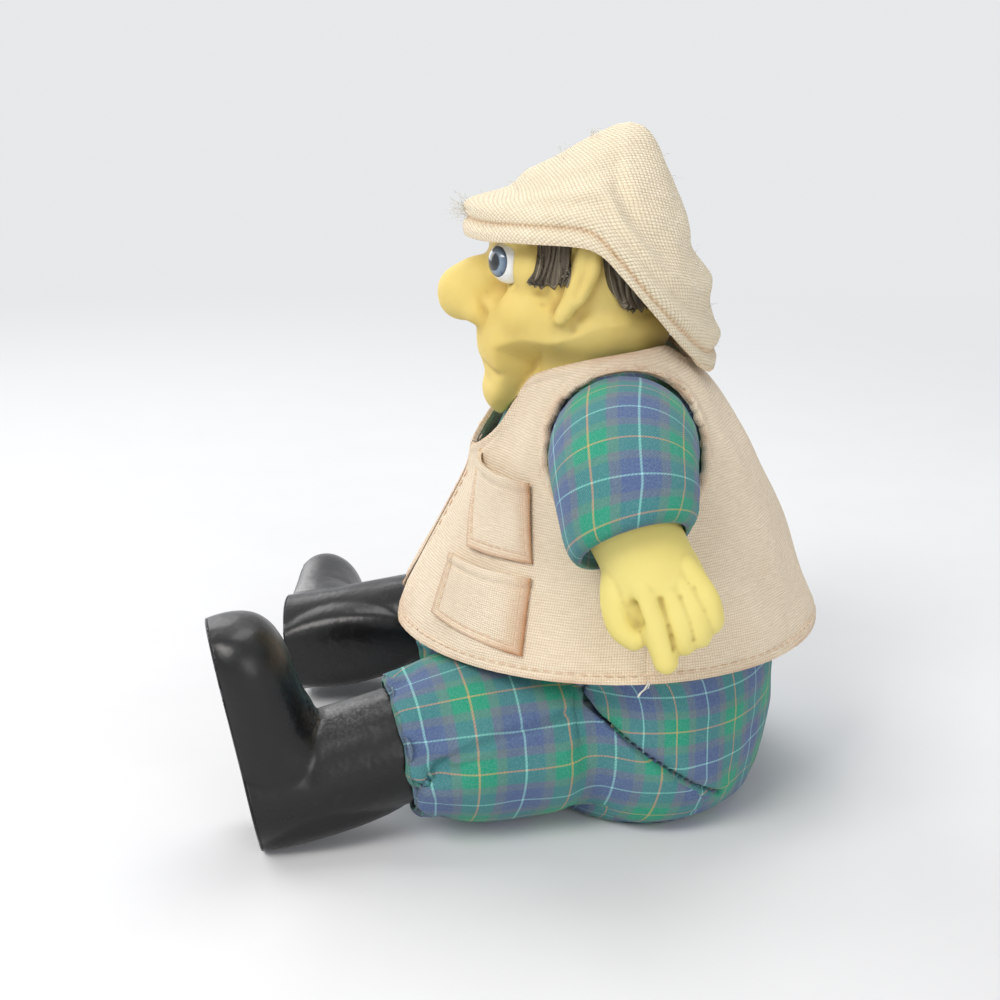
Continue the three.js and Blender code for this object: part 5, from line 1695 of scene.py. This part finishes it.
def make_hands():
    """A loosely closed hand: the forefinger points down, the thumb curls, the others are half closed."""
    bm = bmesh.new()
    palm = through([(4, 6.8, 8.6, 0.4), (1, 7.2, 8.8, 0.6), (-3, 7.1, 8.7, 1.4), (-8, 6.8, 9, 2.4),
                    (-13, 5.6, 8.6, 3), (-17.5, 4.2, 7, 3.2), (-19.6, 2.6, 5.6, 3.4),
                    (-20.2, 0.05, 0.05, 3.4)])
    steps = 40
    rings = []
    for i in range(steps + 1):
        z, wide, deep, y = palm(i / steps)
        rings.append((Vector((0, y, z)), Vector((max(wide, TIP), 0, 0)), Vector((0, max(deep, TIP), 0))))
    ring_tube(bm, [(rings[0][0], rings[0][1] * 0.01, rings[0][2] * 0.01)] + rings, 40)
    rod(bm, [(3.6, -0.6, -8), (4.1, -0.2, -15), (3.2, 0.2, -22.9)], [2.9, 2.7, 2.4])
    for y, knuckle in ((4.3, -20.8), (7.4, -20.2), (10.2, -18.2)):
        bent = [(3.4, y * 0.76, -7), (4.2, y, knuckle + 4.6), (2.2, y, knuckle + 0.2), (-3, y, knuckle + 1.4)]
        rod(bm, bent, [2.6, 2.45, 2.4, 2.2])
    rod(bm, [(0.6, -4, -5), (1, -5.9, -10), (1.4, -6.1, -14.6), (2, -4.4, -17.4)], [3.4, 3, 2.7, 2.4])
    plug(bm, 8.5, 6.2, 6, 32)
    plug(bm, 6.2, 3.2, 4.2, 32)
    obj = skin("hand_cast_left", bm, 0.38, 14)
    for line, depth, width in (([(6, 2, -11.5), (5.4, 2.1, -15), (5, 2.2, -21)], 0.4, 0.6),
                               ([(6, 5.6, -12), (5.4, 5.8, -15), (4.8, 5.9, -20)], 0.3, 0.5),
                               ([(6, 8.5, -11), (5.2, 8.8, -14), (4.4, 8.8, -18)], 0.3, 0.5),
                               ([(4.6, -3, -11.5), (4.8, -2.9, -14.6)], 1.3, 1.3)):
        groove(obj, line, depth, width)
    # painted shade in the creases of the hand
    paint_hollow_shade(obj, 3, 5.5)
    place = hand_place()
    carry(obj, Matrix.Translation(place.translation * MM) @ place.to_3x3().to_4x4())
    right = mirrored(obj, "hand_cast_right")
    for made, side in ((obj, "left"), (right, "right")):
        ready(made, HAND_PAINT, f"{side}_hand", "skin_paint", f"hand_{side}")


def make_boot(side):
    """A boot upright in its own frame, with the top of its shaft at the cuff."""
    bm = bmesh.new()
    sole = -BOOT_HEIGHT
    foot = through([(13.1, 0.05, 0.05), (12.8, 5.4, 26), (10.2, 9.4, 34), (2, 10.9, 30), (-9, 11.1, 18),
                    (-16, 11.2, 15.8), (-27.5, 11.4, 14.2), (-33.2, 8.6, 11.6), (-35.4, 4, 7.5),
                    (-35.8, 0.05, 0.05)])
    steps = 60
    rings = []
    for i in range(steps + 1):
        y, wide, high = foot(i / steps)
        rings.append((Vector((0, y, sole + high * 0.36)), Vector((max(wide, TIP), 0, 0)),
                      Vector((0, 0, max(high, TIP) * 0.64))))
    ring_tube(bm, rings, 48)
    shaft = [(sole - 1, 0.05, 1.2), (sole - 1, 11.7, 1.2), (-24, 11.7, 0.9), (-12, 11.8, 0.4), (-1, 12, 0),
             (3.6, 12, 0), (4, 11.6, 0), (4, 0.05, 0)]
    ring_tube(bm, [upright([(z, r)], y)[0] for z, r, y in shaft], 56)
    rod(bm, [(0, 2, -18), (0, -6, -19.6), (0, -18, -22)], [9, 7.2, 5.2])
    plug(bm, 3, 8, 6.1, 40)
    plug(bm, 8, 12, 8.4, 40)
    obj = skin(f"boot_cast_{side}", bm, 0.5, 12)
    bm = bmesh.new()
    bm.from_mesh(obj.data)
    cut = bmesh.ops.bisect_plane(bm, geom=bm.verts[:] + bm.edges[:] + bm.faces[:],
                                 plane_co=(0, 0, sole * MM), plane_no=(0, 0, -1),
                                 clear_outer=True)["geom_cut"]
    rim = [g for g in cut if isinstance(g, bmesh.types.BMEdge)]
    bmesh.ops.edgeloop_fill(bm, edges=rim)
    bmesh.ops.bevel(bm, geom=rim, offset=0.5 * MM, affect="EDGES", segments=2, profile=0.5, material=-1)
    bm.to_mesh(obj.data)
    bm.free()
    obj.data.shade_smooth()
    groove(obj, [(-9, -3, -20), (0, -11.4, -15.5), (9, -3, -20)], 0.6, 2.2)
    dust = []
    for x, y, z in points_of(obj.data) / MM:
        dust.append(bump(math.hypot(x - 1, (z + 9) * 0.55), 0, 5) * min(max(-y - 5, 0) / 3, 1))
    paint_mark(obj, "dust", dust)
    turn = math.radians(LEG_TURNS[side][1])
    cuff = Matrix.Translation(Vector((0, -LEG_LENGTH, CUFF_Z - HIP.z)) * MM) @ Matrix.Rotation(-turn, 4, "Z")
    laid = Matrix.Rotation(BOOT_TILT - math.pi / 2, 4, "X")
    rolled = Matrix.Rotation(math.radians(BOOT_ROLLS[side]), 4, "Z")
    carry(obj, hip_place(side) @ cuff @ laid @ rolled)
    ready(obj, BOOT_GLOSS, f"{side}_boot", "boot_gloss", f"boot_{side}")


# Stage


def make_stage():
    """A pale floor that runs into a pale background, and soft studio light."""
    pale = (0.80, 0.81, 0.825, 1)
    bm = bmesh.new()
    bmesh.ops.create_grid(bm, x_segments=2, y_segments=2, size=4)
    floor = loose_object("floor", bm)
    made, tree, surface = new_material("floor_paper")
    place = place_of(tree)
    speck = noise_value(tree, place, 40.0, 3)
    paper = blend(tree, speck, rgb(226, 227, 229), rgb(231, 232, 234))
    set_surface(tree, surface, {"Base Color": paper, "Roughness": 0.85})
    far = node(tree, "ShaderNodeVectorMath", {0: place}, operation="LENGTH").outputs["Value"]
    fade = node(tree, "ShaderNodeMapRange", {0: far, 1: 0.16, 2: 0.7, 3: 0.0, 4: 1.0},
                interpolation_type="SMOOTHSTEP").outputs[0]
    glow = node(tree, "ShaderNodeEmission", {"Color": pale, "Strength": 1.0})
    both = node(tree, "ShaderNodeMixShader", {0: times(tree, fade, seen_share(tree)), 1: surface.outputs[0],
                                              2: glow.outputs[0]})
    tree.links.new(both.outputs[0], tree.nodes["Material Output"].inputs["Surface"])
    floor.data.materials.append(made)
    world = bpy.data.worlds.new("studio")
    scene.world = world
    world.use_nodes = True
    tree = world.node_tree
    level = calc(tree, "MULTIPLY_ADD", seen_share(tree), 0.52, 0.48)
    tree.links.new(level, tree.nodes["Background"].inputs["Strength"])
    tree.nodes["Background"].inputs["Color"].default_value = pale
    area_light("key", Vector((0.62, -0.55, 0.85)), 0.5, 7.0, (1, 0.97, 0.93))
    area_light("fill", Vector((0.95, 0.5, 0.4)), 0.6, 3.2)
    area_light("top", Vector((-0.28, 0.05, 0.98)), 0.55, 3.0)
    area_light("side", Vector((-0.62, -0.66, 0.46)), 0.85, 5.0)


def seen_share(tree):
    """1 for rays that the eye follows: straight, mirrored or through glass."""
    path = node(tree, "ShaderNodeLightPath").outputs
    mirrored_or_through = calc(tree, "MAXIMUM", path["Is Glossy Ray"], path["Is Transmission Ray"])
    return calc(tree, "MAXIMUM", path["Is Camera Ray"], mirrored_or_through)


def dress_hidden_nodes():
    """Finishes for the inner pieces that keep their CAD shape."""
    finishes = {"pellet_fill": BEADS, "wadding": STUFFING, "neck_tie": TIE_CORD}
    for side in SIDES:
        finishes[f"wrist_tie_{side}"] = TIE_CORD
        finishes[f"ankle_tie_{side}"] = TIE_CORD
    for name, material in finishes.items():
        mesh_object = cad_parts[name]
        mesh_object.data.materials.clear()
        mesh_object.data.materials.append(material)


scene.view_settings.view_transform = "Standard"
set_camera()
make_stage()
dress_hidden_nodes()
make_body()
make_sleeves()
for side in SIDES:
    make_leg(side)
make_vest()
head = make_head()
make_eyes()
make_hair(head)
make_cap()
make_hands()
for side in SIDES:
    make_boot(side)
